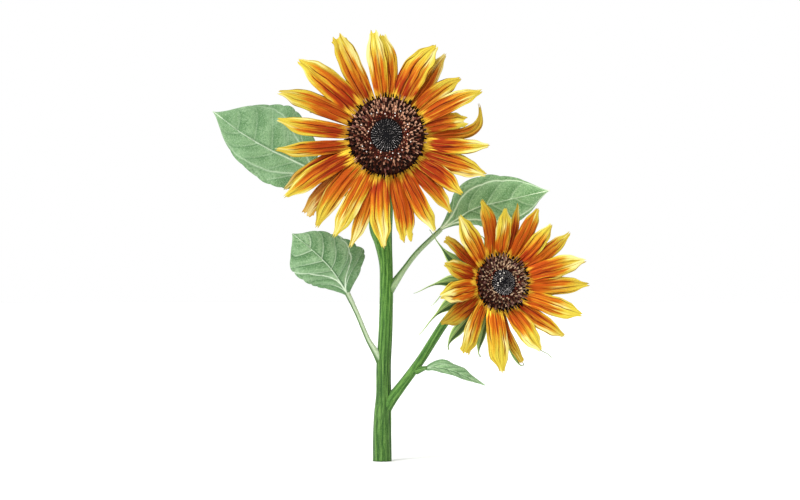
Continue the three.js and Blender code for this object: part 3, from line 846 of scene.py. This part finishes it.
def tint_finish(name, colour, roughness=0.7, contrast=0.35):
    """One of a head's plain tints: a base colour, broken up a little by a fine grain."""
    f = Finish(name, roughness=roughness, specular=0.06)
    grain = f.noise(f.object_place(), 900.0, 2.0)
    f.base = f.mix(grain.between(0.35, 0.65), dimmed(colour, 1 - contrast), colour)
    return f.done(grain, 0.1, 0.5)


# ---- settings ----


def colour_setting(name, description, code):
    return bpy.props.FloatVectorProperty(
        name=name, description=description, default=linear(code), subtype="COLOR", size=3, min=0, max=1
    )


def number_setting(name, description, default, **kind):
    return bpy.props.FloatProperty(name=name, description=description, default=default, min=0, **kind)


def length_setting(name, description, millimetres):
    return number_setting(name, description, millimetres * MM, subtype="DISTANCE", unit="LENGTH")


class StemSettings(bpy.types.PropertyGroup):
    """Skin of the stems and petioles"""

    rib_depth: length_setting("Rib Depth", "How far the lengthwise ribs stand out", 0.32)
    skin: colour_setting("Skin", "Main green of the skin", "#38631f")
    # Shade also paints the shade in the rib grooves, and Light the highlight on the rib crests.
    shade: colour_setting("Shade", "Dark streaks", "#1c4314")
    light: colour_setting("Light", "Pale streaks and rib crests", "#729b4c")
    petiole: colour_setting("Petiole", "Pale green that petioles fade to", "#b9cba8")


class LeafSettings(bpy.types.PropertyGroup):
    """Blades of the leaves"""

    thickness: length_setting("Thickness", "Thickness in the middle of a blade", 0.9)
    vein_depth: length_setting("Vein Depth", "How deep the veins are drawn into the upper side", 0.5)
    blade: colour_setting("Blade", "Main green of the blade", "#6a8f60")
    shade: colour_setting("Shade", "Darker clouds of the blade", "#466f42")
    light: colour_setting("Light", "Paler clouds of the blade", "#9cba92")
    crease_shade: colour_setting("Crease", "Shadow beside the veins", "#2f5730")
    vein: colour_setting("Vein", "Veins", "#d6e6cc")


class RaySettings(bpy.types.PropertyGroup):
    """Petals of both heads"""

    thickness: length_setting("Thickness", "Thickness in the middle of a petal", 0.5)
    pleat: length_setting("Pleat", "Height of the lengthwise pleats", 0.6)
    ragged: number_setting("Ragged", "How far the tips are nicked, as a share of the length", 0.055)
    wave: length_setting("Wave", "How far the margins wave", 0.5)
    sway: length_setting("Sway", "How far a petal may bend sideways", 1.3)
    foot: colour_setting("Foot", "Yellow at the very foot", "#eec63c")
    brick: colour_setting("Brick", "Red of the deepest hearts", "#8f2c08")
    heart: colour_setting("Heart", "Red-orange of the lower part", "#a8480a")
    glow: colour_setting("Glow", "Orange of the middle", "#ac4e0a")
    orange: colour_setting("Orange", "Golden orange further out", "#bb6a12")
    gold: colour_setting("Gold", "Yellow of the margins", "#be9224")
    tip: colour_setting("Tip", "Yellow of the tip", "#c4b23c")
    pale: colour_setting("Pale", "Pale highlights between the veins", "#e4dc98")
    # This colour is painted shade laid over the rays of the back rows; the veins are drawn without it.
    vein: colour_setting("Vein", "Dark veins", "#5e1e04")
    faded: colour_setting("Faded", "Tan orange of the blunt petals", "#c4843a")


class DiscSettings(bpy.types.PropertyGroup):
    """Florets of the discs"""

    outer_spacing: length_setting("Outer Spacing", "Distance between open florets", 2.8)
    inner_spacing: length_setting("Inner Spacing", "Distance between closed florets", 1.7)
    bud_rows: bpy.props.IntProperty(
        name="Bud Rows", description="Rows of buds round the button", default=36, min=3
    )
    anther: colour_setting("Anther", "Dark anther tubes", "#100605")
    tan: colour_setting("Tan", "Tubes of the open florets", "#b08263")
    maroon: colour_setting("Maroon", "Closed florets round the button", "#66281e")
    bud: colour_setting("Bud", "Closed buds of the button", "#141315")
    lattice: colour_setting("Lattice", "Grey scales between the buds", "#96908e")


class CupSettings(bpy.types.PropertyGroup):
    """Cups and bracts behind the heads"""

    bract: colour_setting("Bract", "Green of the bracts", "#5f8246")
    shade: colour_setting("Shade", "Shade of the bracts", "#1f3f16")
    light: colour_setting("Light", "Pale edge of the bracts", "#b2c880")


class StageSettings(bpy.types.PropertyGroup):
    """Floor, light and camera"""

    floor_radius: length_setting("Floor Radius", "Radius of the floor", 6000)
    distance: length_setting("Camera Distance", "From the camera to the heads", 2000)
    span: length_setting("Span", "Width of the view at the heads", 600)
    key_strength: number_setting("Key", "Strength of the key light", 1.9)
    dim_side: number_setting("Dim Side", "Soft light from the dim side", 0.28)
    bright_side: number_setting("Bright Side", "Soft light from the bright side", 1.35)


# ---- stems and leaves ----


def limb_surface(stations, around, length_step, ribs, rib_depth, seed, start):
    """Vertices, faces, Grain and rib shares of a ribbed limb with closed ends, from start on its curve."""
    random = np.random.default_rng(seed)
    dense = spline(stations, np.linspace(start, 1, 600))
    travelled = np.concatenate([[0], np.cumsum(np.linalg.norm(np.diff(dense[:, :3], axis=0), axis=1))])
    rings = max(8, int(travelled[-1] / length_step))
    at = np.linspace(0, travelled[-1], rings)
    line = np.stack([np.interp(at, travelled, dense[:, k]) for k in range(4)], -1)
    tangent = unit(np.gradient(line[:, :3], axis=0))
    side = np.zeros((rings, 3))
    side[0] = unit(np.cross(tangent[0], [0.0, 1.0, 0.0]))
    for i in range(1, rings):
        side[i] = unit(side[i - 1] - tangent[i] * (side[i - 1] @ tangent[i]))
    other = np.cross(tangent, side)
    angle = np.linspace(0, 2 * math.pi, around, endpoint=False)
    phase = random.uniform(0, 2 * math.pi, 3)
    slow = 0.35 * np.sin(at / 37 + phase[0])[:, None]
    rib = 0.5 + 0.5 * np.cos(ribs * (angle + slow) + 0.8 * np.sin(2 * angle + phase[1]))
    fine = 0.5 + 0.5 * np.cos((2 * ribs + 3) * (angle - 0.5 * slow) + phase[2])
    radius = line[:, 3:] + rib_depth * (rib - 0.5 + 0.4 * (fine - 0.5))
    points = line[:, None, :3] + radius[..., None] * (
        side[:, None] * np.cos(angle)[None, :, None] + other[:, None] * np.sin(angle)[None, :, None]
    )
    vertices = np.concatenate([points.reshape(-1, 3), line[[0, -1], :3]])
    round_share = np.abs(angle / math.pi - 1)
    grain = np.stack(np.broadcast_arrays(round_share[None], (at / LIMB_GRAIN)[:, None]), -1).reshape(-1, 2)
    grain = np.concatenate([grain, [[0.5, 0], [0.5, at[-1] / LIMB_GRAIN]]])
    return vertices, capped_faces(rings, around), grain, np.concatenate([rib.reshape(-1), [0, 0]])


class SUNFLOWER_OT_stems(bpy.types.Operator):
    """Make the ribbed main stem and side stem"""

    bl_idname = "sunflower.stems"
    bl_label = "Make Stems"

    def execute(self, context):
        settings = context.scene.sunflower_stems
        finish = stem_finish("stem", settings)
        for stem in STEMS:
            end = placed(stem["head"], -stem["reach"] * UP)
            stations = [*stem["stations"], (*end, stem["head"]["neck_radius"])]
            t = np.linspace(0, 0.2, 400)
            start = float(np.interp(0, spline(stations, t)[:, 2], t))  # where the curve leaves the ground
            depth = settings.rib_depth / MM * stem["depth"]
            vertices, faces, grain, crest = limb_surface(
                stations, STEM_ROUND, STEM_STEP, stem["ribs"], depth, STEM_SEED, start
            )
            # Painted light: the upper main stem, in the top head's shade, is lightened by height, and the
            # side stem evenly.
            bright = 0.3
            if start > 0:
                foot_middle = -2
                vertices[:STEM_ROUND, 2] = 0
                vertices[foot_middle, 2] = 0
                bright = np.maximum(0.75 * smoothstep(60, 150, vertices[:, 2]) - 0.04, 0)
            make_piece(
                f"{stem['name']}_skin", vertices, faces, [finish], grain,
                {"rib": crest, "bright": bright}, nodes=[stem["name"]],
            )
        return {"FINISHED"}


def width_at(widths, t):
    """The width of a leaf's half at t, on a smooth curve through its widths."""
    known = np.array([widths[0], *widths, widths[-1]], float)
    place = np.clip(t, 0, 1) * (len(widths) - 1)
    i = np.minimum(place.astype(int), len(widths) - 2)
    w = place - i
    p0, p1, p2, p3 = (known[i + k] for k in range(4))
    into, out = (p2 - p0) / 2, (p3 - p1) / 2
    return (2 * p1 - 2 * p2 + into + out) * w**3 + (3 * p2 - 3 * p1 - 2 * into - out) * w**2 + into * w + p1


def leaf_veins(leaf, t, reach, side, width, length):
    """Shares of vein, painted shade in the creases, painted light on the lit blade, and quilted blade at
    each point of a leaf.

    Side veins leave the midrib and swing forward to the margin. The two lowest run far up the blade.
    """
    size = length / PLAN_LEAF_LENGTH
    vein, crease_shade, lit, quilt = (np.zeros_like(t) for _ in range(4))

    def bump(distance, middle, spread):
        return np.exp(-(((distance - middle * size) / (spread * size)) ** 2))

    for half in (0, 1):
        veins = [
            (0.0, *leaf["basal_paths"][half], 1.15, leaf["basal_veins"], 1.4),
            (0.02, *leaf["low_paths"][half], 0.9, leaf["basal_veins"], 1.15),
        ]
        veins += [(start, swing, UPPER_BOW, 0.6, leaf["side_veins"], 1.15) for start, swing in UPPER_VEINS]
        here = side == half
        for start, swing, bow, thick, show, strength in veins:
            path = start + 0.03 * half + swing * reach**bow
            slope = swing * bow * np.maximum(reach, 0.02) ** (bow - 1)
            past = (t - path) / np.sqrt(length**-2 + (slope / np.maximum(width, 2)) ** 2)
            line = np.exp(-((past / (thick * size * (1 - 0.45 * reach))) ** 2))
            # Painted shade just below each vein, and painted light further up the panel.
            below = np.maximum(bump(past, -1.2, 0.9), 0.4 * bump(past, -2.6, 2.6))
            vein = np.where(here, np.maximum(vein, show * np.clip(strength - reach, 0, 1) * line), vein)
            lit = np.where(here, np.maximum(lit, (1 - 0.3 * reach) * bump(past, 3.0, 2.2)), lit)
            crease_shade = np.where(here, np.maximum(crease_shade, (1 - 0.4 * reach) * below), crease_shade)
            quilt = np.where(here, np.maximum(quilt, bump(past, 0, 2.2)), quilt)
    from_rib = reach * width
    midrib = np.exp(-((from_rib / (0.62 * size * np.maximum(0.5, 1.25 - t))) ** 2))
    vein = np.maximum(vein * smoothstep(0, 0.02, t), midrib * leaf["midrib_vein"])
    # Painted shade along a fold beside the midrib.
    fold_shade = bump(from_rib, 1.3, 0.9) * (side == 1) * (1 - 0.8 * smoothstep(0.55, 0.9, t))
    crease_shade = np.maximum(crease_shade * 0.8, fold_shade) * (1 - vein) * leaf["creases"]
    return vein, crease_shade, lit * (1 - vein) * leaf["creases"], quilt, midrib


def leaf_arrays(leaf, settings):
    """The blade's vertices, faces, Grain, and shares of vein, painted crease shade and painted light on the
    blade.
    """
    t, v = blade_grid(LEAF_STEPS)
    reach, side = np.abs(v), np.where(v > 0, 0, 1)

    def rib(s):
        return spline(leaf["midrib"], s)

    length = np.linalg.norm(np.diff(rib(np.linspace(0, 1, 200)), axis=0), axis=1).sum()
    size = length / PLAN_LEAF_LENGTH
    across, up = directions(rib, t, unit(np.array(leaf["facing"], float)))
    (first_widths, first_fold), (second_widths, second_fold) = leaf["halves"]
    width = np.where(side == 0, width_at(first_widths, t), width_at(second_widths, t))
    teeth = np.abs(np.cos(math.pi * (t * 9 + 0.3 * side + 0.4 * np.sin(5 * t + side)))) ** 0.6
    width = np.maximum(0.12, width * (1 + leaf["teeth"] * (teeth - 0.8) * smoothstep(0.02, 0.2, t)))
    fold = np.radians(np.where(side == 0, first_fold, second_fold)) * reach
    vein, crease_shade, lit, quilt, midrib = leaf_veins(leaf, t, reach, side, width, length)
    bulge = settings.vein_depth / MM * size * (0.9 * (1 - quilt) - 0.9 * vein)
    ripple = 1.3 * size * reach**2 * np.sin(2 * math.pi * (3.1 * t + 0.23 * side) + leaf["phase"])
    lift = -reach * width * np.sin(fold) + bulge + ripple * smoothstep(0, 0.15, t)
    points = rib(t) + across * (v * width * np.cos(fold))[..., None] + up * lift[..., None]
    thickness = settings.thickness / MM * (1 - 0.6 * reach**4) * np.minimum(1, 0.3 + 6 * (1 - t))
    grids = (vein, crease_shade, lit, v * width / LEAF_GRAIN, t * length / LEAF_GRAIN)
    vertices, faces, grids = blade_arrays(points, thickness + 0.9 * midrib * size, grids)
    return vertices, faces, np.stack(grids[3:], -1), dict(zip(("vein", "crease_shade", "lit"), grids))


class SUNFLOWER_OT_leaves(bpy.types.Operator):
    """Make the four leaves, each a veined blade on its petiole"""

    bl_idname = "sunflower.leaves"
    bl_label = "Make Leaves"

    def execute(self, context):
        blade_finish = leaf_finish(context.scene.sunflower_leaves)
        petiole_finish = stem_finish("petiole", context.scene.sunflower_stems, fades=True)
        for leaf in LEAVES:
            vertices, faces, grain, shares = leaf_arrays(leaf, context.scene.sunflower_leaves)
            make_piece(
                f"{leaf['name']}_blade", vertices, faces, [blade_finish], grain,
                {**shares, "bright": leaf["bright"]}, nodes=[leaf["name"]],
            )
            vertices, faces, grain, crest = limb_surface(leaf["petiole"], *PETIOLE)
            shares = {"rib": crest, "pale": leaf["pale_petiole"], "bright": leaf["bright"]}
            make_piece(
                f"{leaf['name']}_petiole", vertices, faces, [petiole_finish], grain, shares,
                nodes=[leaf["name"]],
            )
        return {"FINISHED"}


# ---- rays and cups ----


class SUNFLOWER_OT_rays(bpy.types.Operator):
    """Make the pleated rays of both heads"""

    bl_idname = "sunflower.rays"
    bl_label = "Make Rays"

    def execute(self, context):
        settings = context.scene.sunflower_rays
        finish = ray_finish(settings)
        for head in HEADS:
            for number, spec in enumerate(head["rays"], 1):
                random = np.random.default_rng(head["seed"] + number)
                vertices, faces, grain = petal_arrays(
                    head, spec, ray_line(head, spec), RAY_FORM, number, settings.thickness / MM,
                    pleat=settings.pleat / MM, wave=settings.wave / MM, curl=random.uniform(-1.2, 1.6),
                    sway=settings.sway / MM, ragged=settings.ragged,
                )
                shares = {
                    "vary": random.uniform(),
                    "deep": ROW_DEPTHS[spec["row"]],
                    "footed": random.uniform(0.45, 1.0),
                    "gold": random.uniform(-0.08, 0.08) + spec["gilt"],
                    # bright is painted light on this head's rays.
                    "bright": head["ray_painted_light"],
                    "faded": head["blunt_fade"] if spec["tip"] == "blunt" else 0.0,
                }
                node = f"{head['name']}_ray_{number:02d}"
                make_piece(f"{node}_petal", vertices, faces, [finish], grain, shares, nodes=[node])
        return {"FINISHED"}


class SUNFLOWER_OT_cups(bpy.types.Operator):
    """Make each head's cup and the bracts round it"""

    bl_idname = "sunflower.cups"
    bl_label = "Make Cups"

    def execute(self, context):
        settings = context.scene.sunflower_cups
        bract_material = bract_finish(settings)
        cup_materials = [
            tint_finish("cup", dimmed(settings.bract, 0.7), 0.6),
            tint_finish("cup_rim", context.scene.sunflower_rays.glow, 0.6),
        ]
        for head in HEADS:
            rim, depth, neck = head["rim_radius"], head["cup_depth"], head["neck_radius"]
            profile = [
                (0.4, -depth), (neck, -depth), (rim * 0.62, -depth * 0.82), (rim * 0.9, -depth * 0.62),
                (rim, -depth * 0.42), (rim, -2.5), (rim, 0), (0.4, 0),
            ]
            vertices, faces = turned(profile, TURNED_ROUND)
            upper = np.zeros(sum(len(f) for f in faces), int)
            upper[5 * TURNED_ROUND : 7 * TURNED_ROUND] = 1  # the last two bands, from the rim inwards
            node = f"{head['name']}_head_cup"
            make_piece(
                f"{node}_body", placed(head, vertices), faces, cup_materials,
                face_material=upper, nodes=[node],
            )
            vertices, faces, grain = join_arrays([
                petal_arrays(
                    head, spec, bract_line(head, spec), BRACT_FORM, seed, BRACT_THICKNESS,
                    pleat=0.12, wave=0.5, curl=-1.5, sway=1.0, whip=10.0 if spec["lean"] > -10 else -2.0,
                )
                for seed, spec in enumerate(head["bracts"], BRACT_SEED)
            ])
            make_piece(f"{node}_bracts", vertices, faces, [bract_material], grain, nodes=[node])
        return {"FINISHED"}


# ---- discs ----

# Small forms that are scattered over the discs: their sides, their (radius, height) pairs and their bow.
OPEN_TUBE = (7, [(0.5, -1.5), (0.75, 0.2), (0.88, 1.7), (0.75, 2.5), (0.3, 2.8)])
ANTHER = (7, [(0.35, 2.0), (0.6, 2.5), (0.64, 4.4), (0.25, 5.5)])
STIGMA = (5, [(0.25, 2.4), (0.36, 3.6), (0.3, 4.6), (0.12, 5.4)], 0.04)
RIM_SPIKE = (6, [(0.35, -1.6), (0.5, 0.4), (0.6, 2.4), (0.5, 3.5), (0.2, 4.3)])
CLOSED_FLORET = (6, [(0.4, -0.8), (0.62, 0.4), (0.55, 1.2), (0.2, 1.8)])
BUD = (6, [(0.5, -0.3), (0.45, 0.25), (0.2, 0.45)])
SCALE = (4, [(0.3, 0.2), (0.3, 0.6), (0.2, 0.75)])
GLINT_SPECK = (8, [(0.12, -0.45), (0.42, -0.25), (0.52, 0.1), (0.42, 0.38), (0.15, 0.5)])
BUD_RINGS = 8
# White of the specks that are painted highlights on the discs.
GLINT_WHITE = "#f4ece2"
SIDE_SPECKS_BETWEEN = (95, 205)  # degrees round the side disc


def scatter_piece(head, piece, form, spots, sizes, finishes, choice=None):
    """One piece of copies of a small form at spots on a disc. choice says which finish each copy has.

    spots are their places, their axes and the ways that they are turned to.
    """
    sides, profile, *bow = form
    vertices, faces = turned(profile, sides, *bow, foot=False)  # their feet never show
    points, copies = scattered(vertices, faces, *spots, sizes)
    if choice is not None:
        choice = np.concatenate([np.repeat(choice, len(f)) for f in faces])
    name = f"{head['name']}_head_{piece}"
    make_piece(name, placed(head, points * head["oval"]), copies, finishes, face_material=choice)


def even_sizes(random, count, low, high):
    return random.uniform(low, high, (count, 1)) * np.ones(3)


def floret_places(head, spacing, inner, outer, lean, random):
    """Spots of florets, which lean outwards by lean(share of the way out), and those shares."""
    radius, bearing = spiral(spacing, inner, outer)
    radius = radius + random.uniform(-0.3, 0.3, len(radius)) * spacing
    bearing = bearing + random.uniform(-0.3, 0.3, len(radius)) * spacing / radius
    place, outward, slope = on_disc(head, radius, bearing)
    share = np.clip((radius - inner) / (outer - inner), 0, 1)
    jitter = random.normal(0, head["florets"]["tousle"], place.shape)
    axis = unit(outward * (lean(share) - 0.5 * slope)[:, None] + UP + jitter)
    return (place, axis, outward), share


def make_bed(head, settings):
    """The disc's own surface under the florets and buds."""
    name = f"{head['name']}_head"
    ring, button = dome_profile(head)
    vertices, faces = turned([(0.4, 0.3), *ring, *button[1:]], TURNED_ROUND)
    material = np.zeros(sum(len(f) for f in faces), int)
    material[len(ring) * TURNED_ROUND : (len(ring) + len(button) - 1) * TURNED_ROUND] = 1
    material[-TURNED_ROUND:] = 1
    finishes = [
        tint_finish(f"{name}_bed", dimmed(settings.tan, 0.1, 0.05, 0.05)),
        tint_finish(f"{name}_button_bed", settings.bud),
    ]
    make_piece(
        f"{name}_bed", placed(head, vertices * head["oval"]), faces, finishes,
        face_material=material, nodes=[f"{name}_floret_ring", f"{name}_button"],
    )


def make_florets(head, settings, random):
    """The open florets with their dark anthers, the spikes round the rim and the closed florets."""
    plan = head["florets"]
    tan = dimmed(settings.tan, *plan["tan"])
    tints = {
        "anther": settings.anther,
        "anther_brown": dimmed(settings.anther, 2.4, 2.2, 2.0),
        "mauve": dimmed(tan, 0.42, 0.3, 0.42),
        "tan_light": dimmed(tan, 1.45, 1.55, 1.65),
        "tan": tan,
        "tan_dark": dimmed(tan, 0.4, 0.25, 0.24),
        "maroon": settings.maroon,
        "maroon_dark": dimmed(settings.maroon, 0.35),
        "rust": dimmed(settings.maroon, 1.9, 2.4, 2.2),
    }
    finishes = {key: tint_finish(f"{head['name']}_head_{key}", tint) for key, tint in tints.items()}

    def scatter(piece, form, spots, sizes, choice, *keys):
        scatter_piece(head, piece, form, spots, sizes, [finishes[key] for key in keys], choice)

    middle = head["button_radius"] * plan["closed_reach"]
    spots, share = floret_places(
        head, settings.outer_spacing / MM * plan["crowding"], middle, head["disc_radius"] * plan["reach"],
        lambda share: 0.75 + 0.9 * share, random,
    )
    count = len(share)
    # Painted light: towards the light more open tubes take the paler tans, and fewer and smaller anthers
    # stand; on the side head also towards the middle.
    toward_light = np.array([0.3, 0.55, 0]) @ spots[2].T
    toward_light = plan["light_of_bearing"] * toward_light + plan["light_of_share"] * (0.45 - share)
    sizes = even_sizes(random, count, 0.8, 1.1) * plan["size"]
    sizes[:, 2] *= random.uniform(0.75, 1.15, count)
    dark_sizes = sizes * (1.12 - 0.12 * toward_light)[:, None]
    pale = np.clip((random.uniform(0, 1, count) * 1.9 + toward_light) * 1.5, 0, 2.99).astype(int)
    scatter("open_tubes", OPEN_TUBE, spots, sizes, 2 - pale, "tan_light", "tan", "tan_dark")

    ripe = random.uniform(0, 1, count) < 0.84 - 0.15 * toward_light
    kinds = np.digitize(random.uniform(0, 1, ripe.sum()), plan["anther_kinds"])
    ripe_spots, bare_spots = ([part[chosen] for part in spots] for chosen in (ripe, ~ripe))
    scatter("open_anthers", ANTHER, ripe_spots, dark_sizes[ripe], kinds, "anther", "anther_brown", "mauve")
    kinds = random.integers(0, 2, (~ripe).sum())
    scatter("stigmas", STIGMA, bare_spots, sizes[~ripe], kinds, "tan_light", "tan")

    count = int(head["disc_radius"] * 2.4)
    outward = outward_at((np.arange(count) + random.uniform(-0.4, 0.4, count)) * 2 * math.pi / count)
    place = outward * head["disc_radius"] * random.uniform(0.95, 0.99, (count, 1))
    place[:, 2] = head["dome_height"] * random.uniform(0.3, 0.55, count)
    axis = unit(outward * random.uniform(1.3, 3, (count, 1)) + UP + random.normal(0, 0.25, (count, 3)))
    sizes = even_sizes(random, count, 0.7, 1.2)
    kinds = random.choice(4, count, p=[0.64, 0.16, 0.1, 0.1])
    spots = (place, axis, outward)
    scatter("rim_spikes", RIM_SPIKE, spots, sizes, kinds, "anther", "anther_brown", "tan", "mauve")

    spots, share = floret_places(
        head, settings.inner_spacing / MM, head["button_radius"] * 1.06, middle * 1.05,
        lambda share: 0.1 + 0.3 * share, random,
    )
    sizes = even_sizes(random, len(share), 0.7, 1.2)
    kinds = random.choice(5, len(share), p=plan["closed_mix"])
    tones = ("maroon", "maroon_dark", "rust", "tan", "tan_light")
    scatter("closed_florets", CLOSED_FLORET, spots, sizes, kinds, *tones)


def make_button(head, settings, random):
    """Rows of closed buds that run out from the middle, each a dark dome with a thin grey scale."""
    name = f"{head['name']}_head"
    rows = settings.bud_rows
    ring, row = np.meshgrid(np.arange(BUD_RINGS), np.arange(rows), indexing="ij")
    out = (0.2 + 0.8 * (ring + 0.5 * (row % 2)) / BUD_RINGS).ravel()
    bearing = (2 * math.pi * row / rows).ravel() + 0.25 * (1 - out) + random.normal(0, 0.015, out.size)
    kept = random.uniform(0, 1, out.size) < 0.1 + 1.2 * out
    out, bearing = out[kept], bearing[kept]
    radius, high = out * head["button_radius"], np.ones(len(out))
    place, outward, slope = on_disc(head, radius, bearing)
    spots = (place, unit(UP - outward * slope[:, None]), outward)
    sizes = np.stack([np.full(len(out), 1.3), 2 * math.pi * radius / rows, high], -1)
    dark = tint_finish(f"{name}_bud", settings.bud, 0.5)
    scatter_piece(head, "buds", BUD, spots, sizes, [dark])
    # The scales are chosen paler towards the rim and, as painted light, towards the lower side of the
    # button.
    toward_light = (outward @ np.array([-0.15, -0.4, 0])) * out
    tone = np.clip(random.uniform(-0.4, 1.5, len(out)) + 1.3 * out + toward_light, 0, 2.99).astype(int)
    tones = [
        tint_finish(f"{name}_scale_{key}", dimmed(settings.lattice, share), 0.6)
        for key, share in (("dim", 0.25), ("grey", 0.85), ("light", 2.3))
    ]
    sizes = np.stack([random.uniform(1.3, 2.2, len(out)), 0.45 + 0.45 * out, high], -1)
    scatter_piece(head, "scales", SCALE, spots, sizes, tones, tone)


def make_glints(head, random):
    """White specks of painted highlight, most of them on the lower florets of the top head and on the button
    of the side one.
    """
    plan = head["florets"]
    count = plan["specks"]
    radius = head["button_radius"] * random.uniform(*plan["speck_reach"], count)
    turn = random.uniform(-1, 1, count)
    bearing = math.pi * (np.sign(turn) * np.abs(turn) ** 1.3 - 0.5)
    if head is SIDE_HEAD:
        bearing = np.radians(np.linspace(*SIDE_SPECKS_BETWEEN, count) + 8 * turn)
    place, _, _ = on_disc(head, radius, bearing)
    place[:, 2] += plan["speck_rise"]
    axis = np.tile(UP, (count, 1))
    spots = (place, axis, np.roll(axis, 1, 1))
    white = tint_finish(f"{head['name']}_head_pollen", linear(GLINT_WHITE), 0.5, 0.1)
    scatter_piece(head, "pollen", GLINT_SPECK, spots, np.ones((count, 3)), [white])


class SUNFLOWER_OT_discs(bpy.types.Operator):
    """Make the discs: their bed, open and closed florets, rim spikes, the buds of the button and white
    specks of painted highlight
    """

    bl_idname = "sunflower.discs"
    bl_label = "Make Discs"

    def execute(self, context):
        settings = context.scene.sunflower_discs
        for head in HEADS:
            random = np.random.default_rng(head["florets"]["seed"])
            make_bed(head, settings)
            make_florets(head, settings, random)
            make_button(head, settings, random)
            make_glints(head, random)
        return {"FINISHED"}


# ---- stage ----

CAMERA_X = 0.0135
CAMERA_Z = 0.1605
HEADS_Y = -0.03
SENSOR_MM = 36
VIEW_DEPTH = 50
FLOOR_SINK = 0.0002
SUN_ANGLES = (48, -12, -28)
SUN_SPREAD = 25


def studio_world(settings):
    """White behind the plant, with soft light all round that is brightest at the upper left front."""
    world = bpy.data.worlds.new("studio")
    world.use_nodes = True
    tree = world.node_tree
    direction = tree.nodes.new("ShaderNodeTexCoord").outputs["Generated"]

    def share(toward, low, high, dim, bright):
        along = tree.nodes.new("ShaderNodeVectorMath")
        along.operation = "DOT_PRODUCT"
        along.inputs[1].default_value = unit(np.array(toward, float))
        tree.links.new(direction, along.inputs[0])
        step = tree.nodes.new("ShaderNodeMapRange")
        step.interpolation_type = "SMOOTHSTEP"
        for key, value in (("From Min", low), ("From Max", high), ("To Min", dim), ("To Max", bright)):
            step.inputs[key].default_value = value
        tree.links.new(along.outputs["Value"], step.inputs["Value"])
        return step.outputs[0]

    strength = tree.nodes.new("ShaderNodeMix")
    tree.links.new(share((0, 1, 0), 0.7, 0.9, 0, 1), strength.inputs[0])
    tree.links.new(
        share((-0.6, -0.5, 0.6), -0.7, 0.9, settings.dim_side, settings.bright_side), strength.inputs[2]
    )
    strength.inputs[3].default_value = 1.0
    background = tree.nodes["Background"]
    background.inputs["Color"].default_value = (1, 1, 1, 1)
    tree.links.new(strength.outputs[0], background.inputs["Strength"])
    return world


class SUNFLOWER_OT_stage(bpy.types.Operator):
    """Set the pale floor, the soft light and the camera"""

    bl_idname = "sunflower.stage"
    bl_label = "Set the Stage"

    def execute(self, context):
        scene = context.scene
        settings = scene.sunflower_stage

        def stood(name, data, location=(0, 0, 0), degrees=(0, 0, 0)):
            thing = bpy.data.objects.new(name, data)
            thing.location = location
            thing.rotation_euler = [math.radians(angle) for angle in degrees]
            scene.collection.objects.link(thing)
            return thing

        rim = outward_at(np.linspace(0, 2 * math.pi, TURNED_ROUND, endpoint=False)) * settings.floor_radius
        mesh = bpy.data.meshes.new("floor")
        mesh.from_pydata([tuple(p) for p in rim], [], [tuple(range(TURNED_ROUND))])
        paper = Finish("paper", roughness=0.9, specular=0.1)
        grain = paper.noise(paper.object_place(), 40.0)
        paper.base = paper.mix(grain, (0.93, 0.93, 0.92), (0.96, 0.96, 0.95))
        mesh.materials.append(paper.done())
        floor = stood("floor", mesh, (0, 0, -FLOOR_SINK))

        scene.world = studio_world(settings)
        key = bpy.data.lights.new("key", "SUN")
        key.energy = settings.key_strength
        key.angle = math.radians(SUN_SPREAD)
        stood("key", key, degrees=SUN_ANGLES)

        camera = bpy.data.cameras.new("camera")
        camera.sensor_width = SENSOR_MM
        camera.lens = SENSOR_MM * settings.distance / settings.span
        camera.clip_end = VIEW_DEPTH
        place = (CAMERA_X, HEADS_Y - settings.distance, CAMERA_Z)
        scene.camera = stood("camera", camera, place, (90, 0, 0))
        scene.view_settings.view_transform = "Standard"
        return {"FINISHED"}


class SUNFLOWER_PT_panel(bpy.types.Panel):
    """The plant's makers and their settings"""

    bl_idname = "SUNFLOWER_PT_panel"
    bl_label = "Sunflower Plant"
    bl_space_type = "VIEW_3D"
    bl_region_type = "UI"
    bl_category = "Sunflower"

    def draw(self, context):
        for operator, group in zip(OPERATORS, SETTINGS):
            box = self.layout.box()
            box.operator(operator.bl_idname)
            settings = getattr(context.scene, group)
            for key in settings.bl_rna.properties.keys():
                if key not in ("rna_type", "name"):
                    box.prop(settings, key)


SETTINGS = {
    "sunflower_stems": StemSettings,
    "sunflower_leaves": LeafSettings,
    "sunflower_rays": RaySettings,
    "sunflower_cups": CupSettings,
    "sunflower_discs": DiscSettings,
    "sunflower_stage": StageSettings,
}
OPERATORS = (
    SUNFLOWER_OT_stems,
    SUNFLOWER_OT_leaves,
    SUNFLOWER_OT_rays,
    SUNFLOWER_OT_cups,
    SUNFLOWER_OT_discs,
    SUNFLOWER_OT_stage,
)


def register():
    for group in SETTINGS.values():
        bpy.utils.register_class(group)
    for name, group in SETTINGS.items():
        setattr(bpy.types.Scene, name, bpy.props.PointerProperty(type=group))
    for operator in OPERATORS:
        bpy.utils.register_class(operator)
    bpy.utils.register_class(SUNFLOWER_PT_panel)


def unregister():
    bpy.utils.unregister_class(SUNFLOWER_PT_panel)
    for operator in reversed(OPERATORS):
        bpy.utils.unregister_class(operator)
    for name, group in SETTINGS.items():
        delattr(bpy.types.Scene, name)
        bpy.utils.unregister_class(group)


def main():
    register()
    bpy.ops.sunflower.stems()
    bpy.ops.sunflower.leaves()
    bpy.ops.sunflower.rays()
    bpy.ops.sunflower.cups()
    bpy.ops.sunflower.discs()
    bpy.ops.sunflower.stage()


if __name__ == "__main__":
    main()
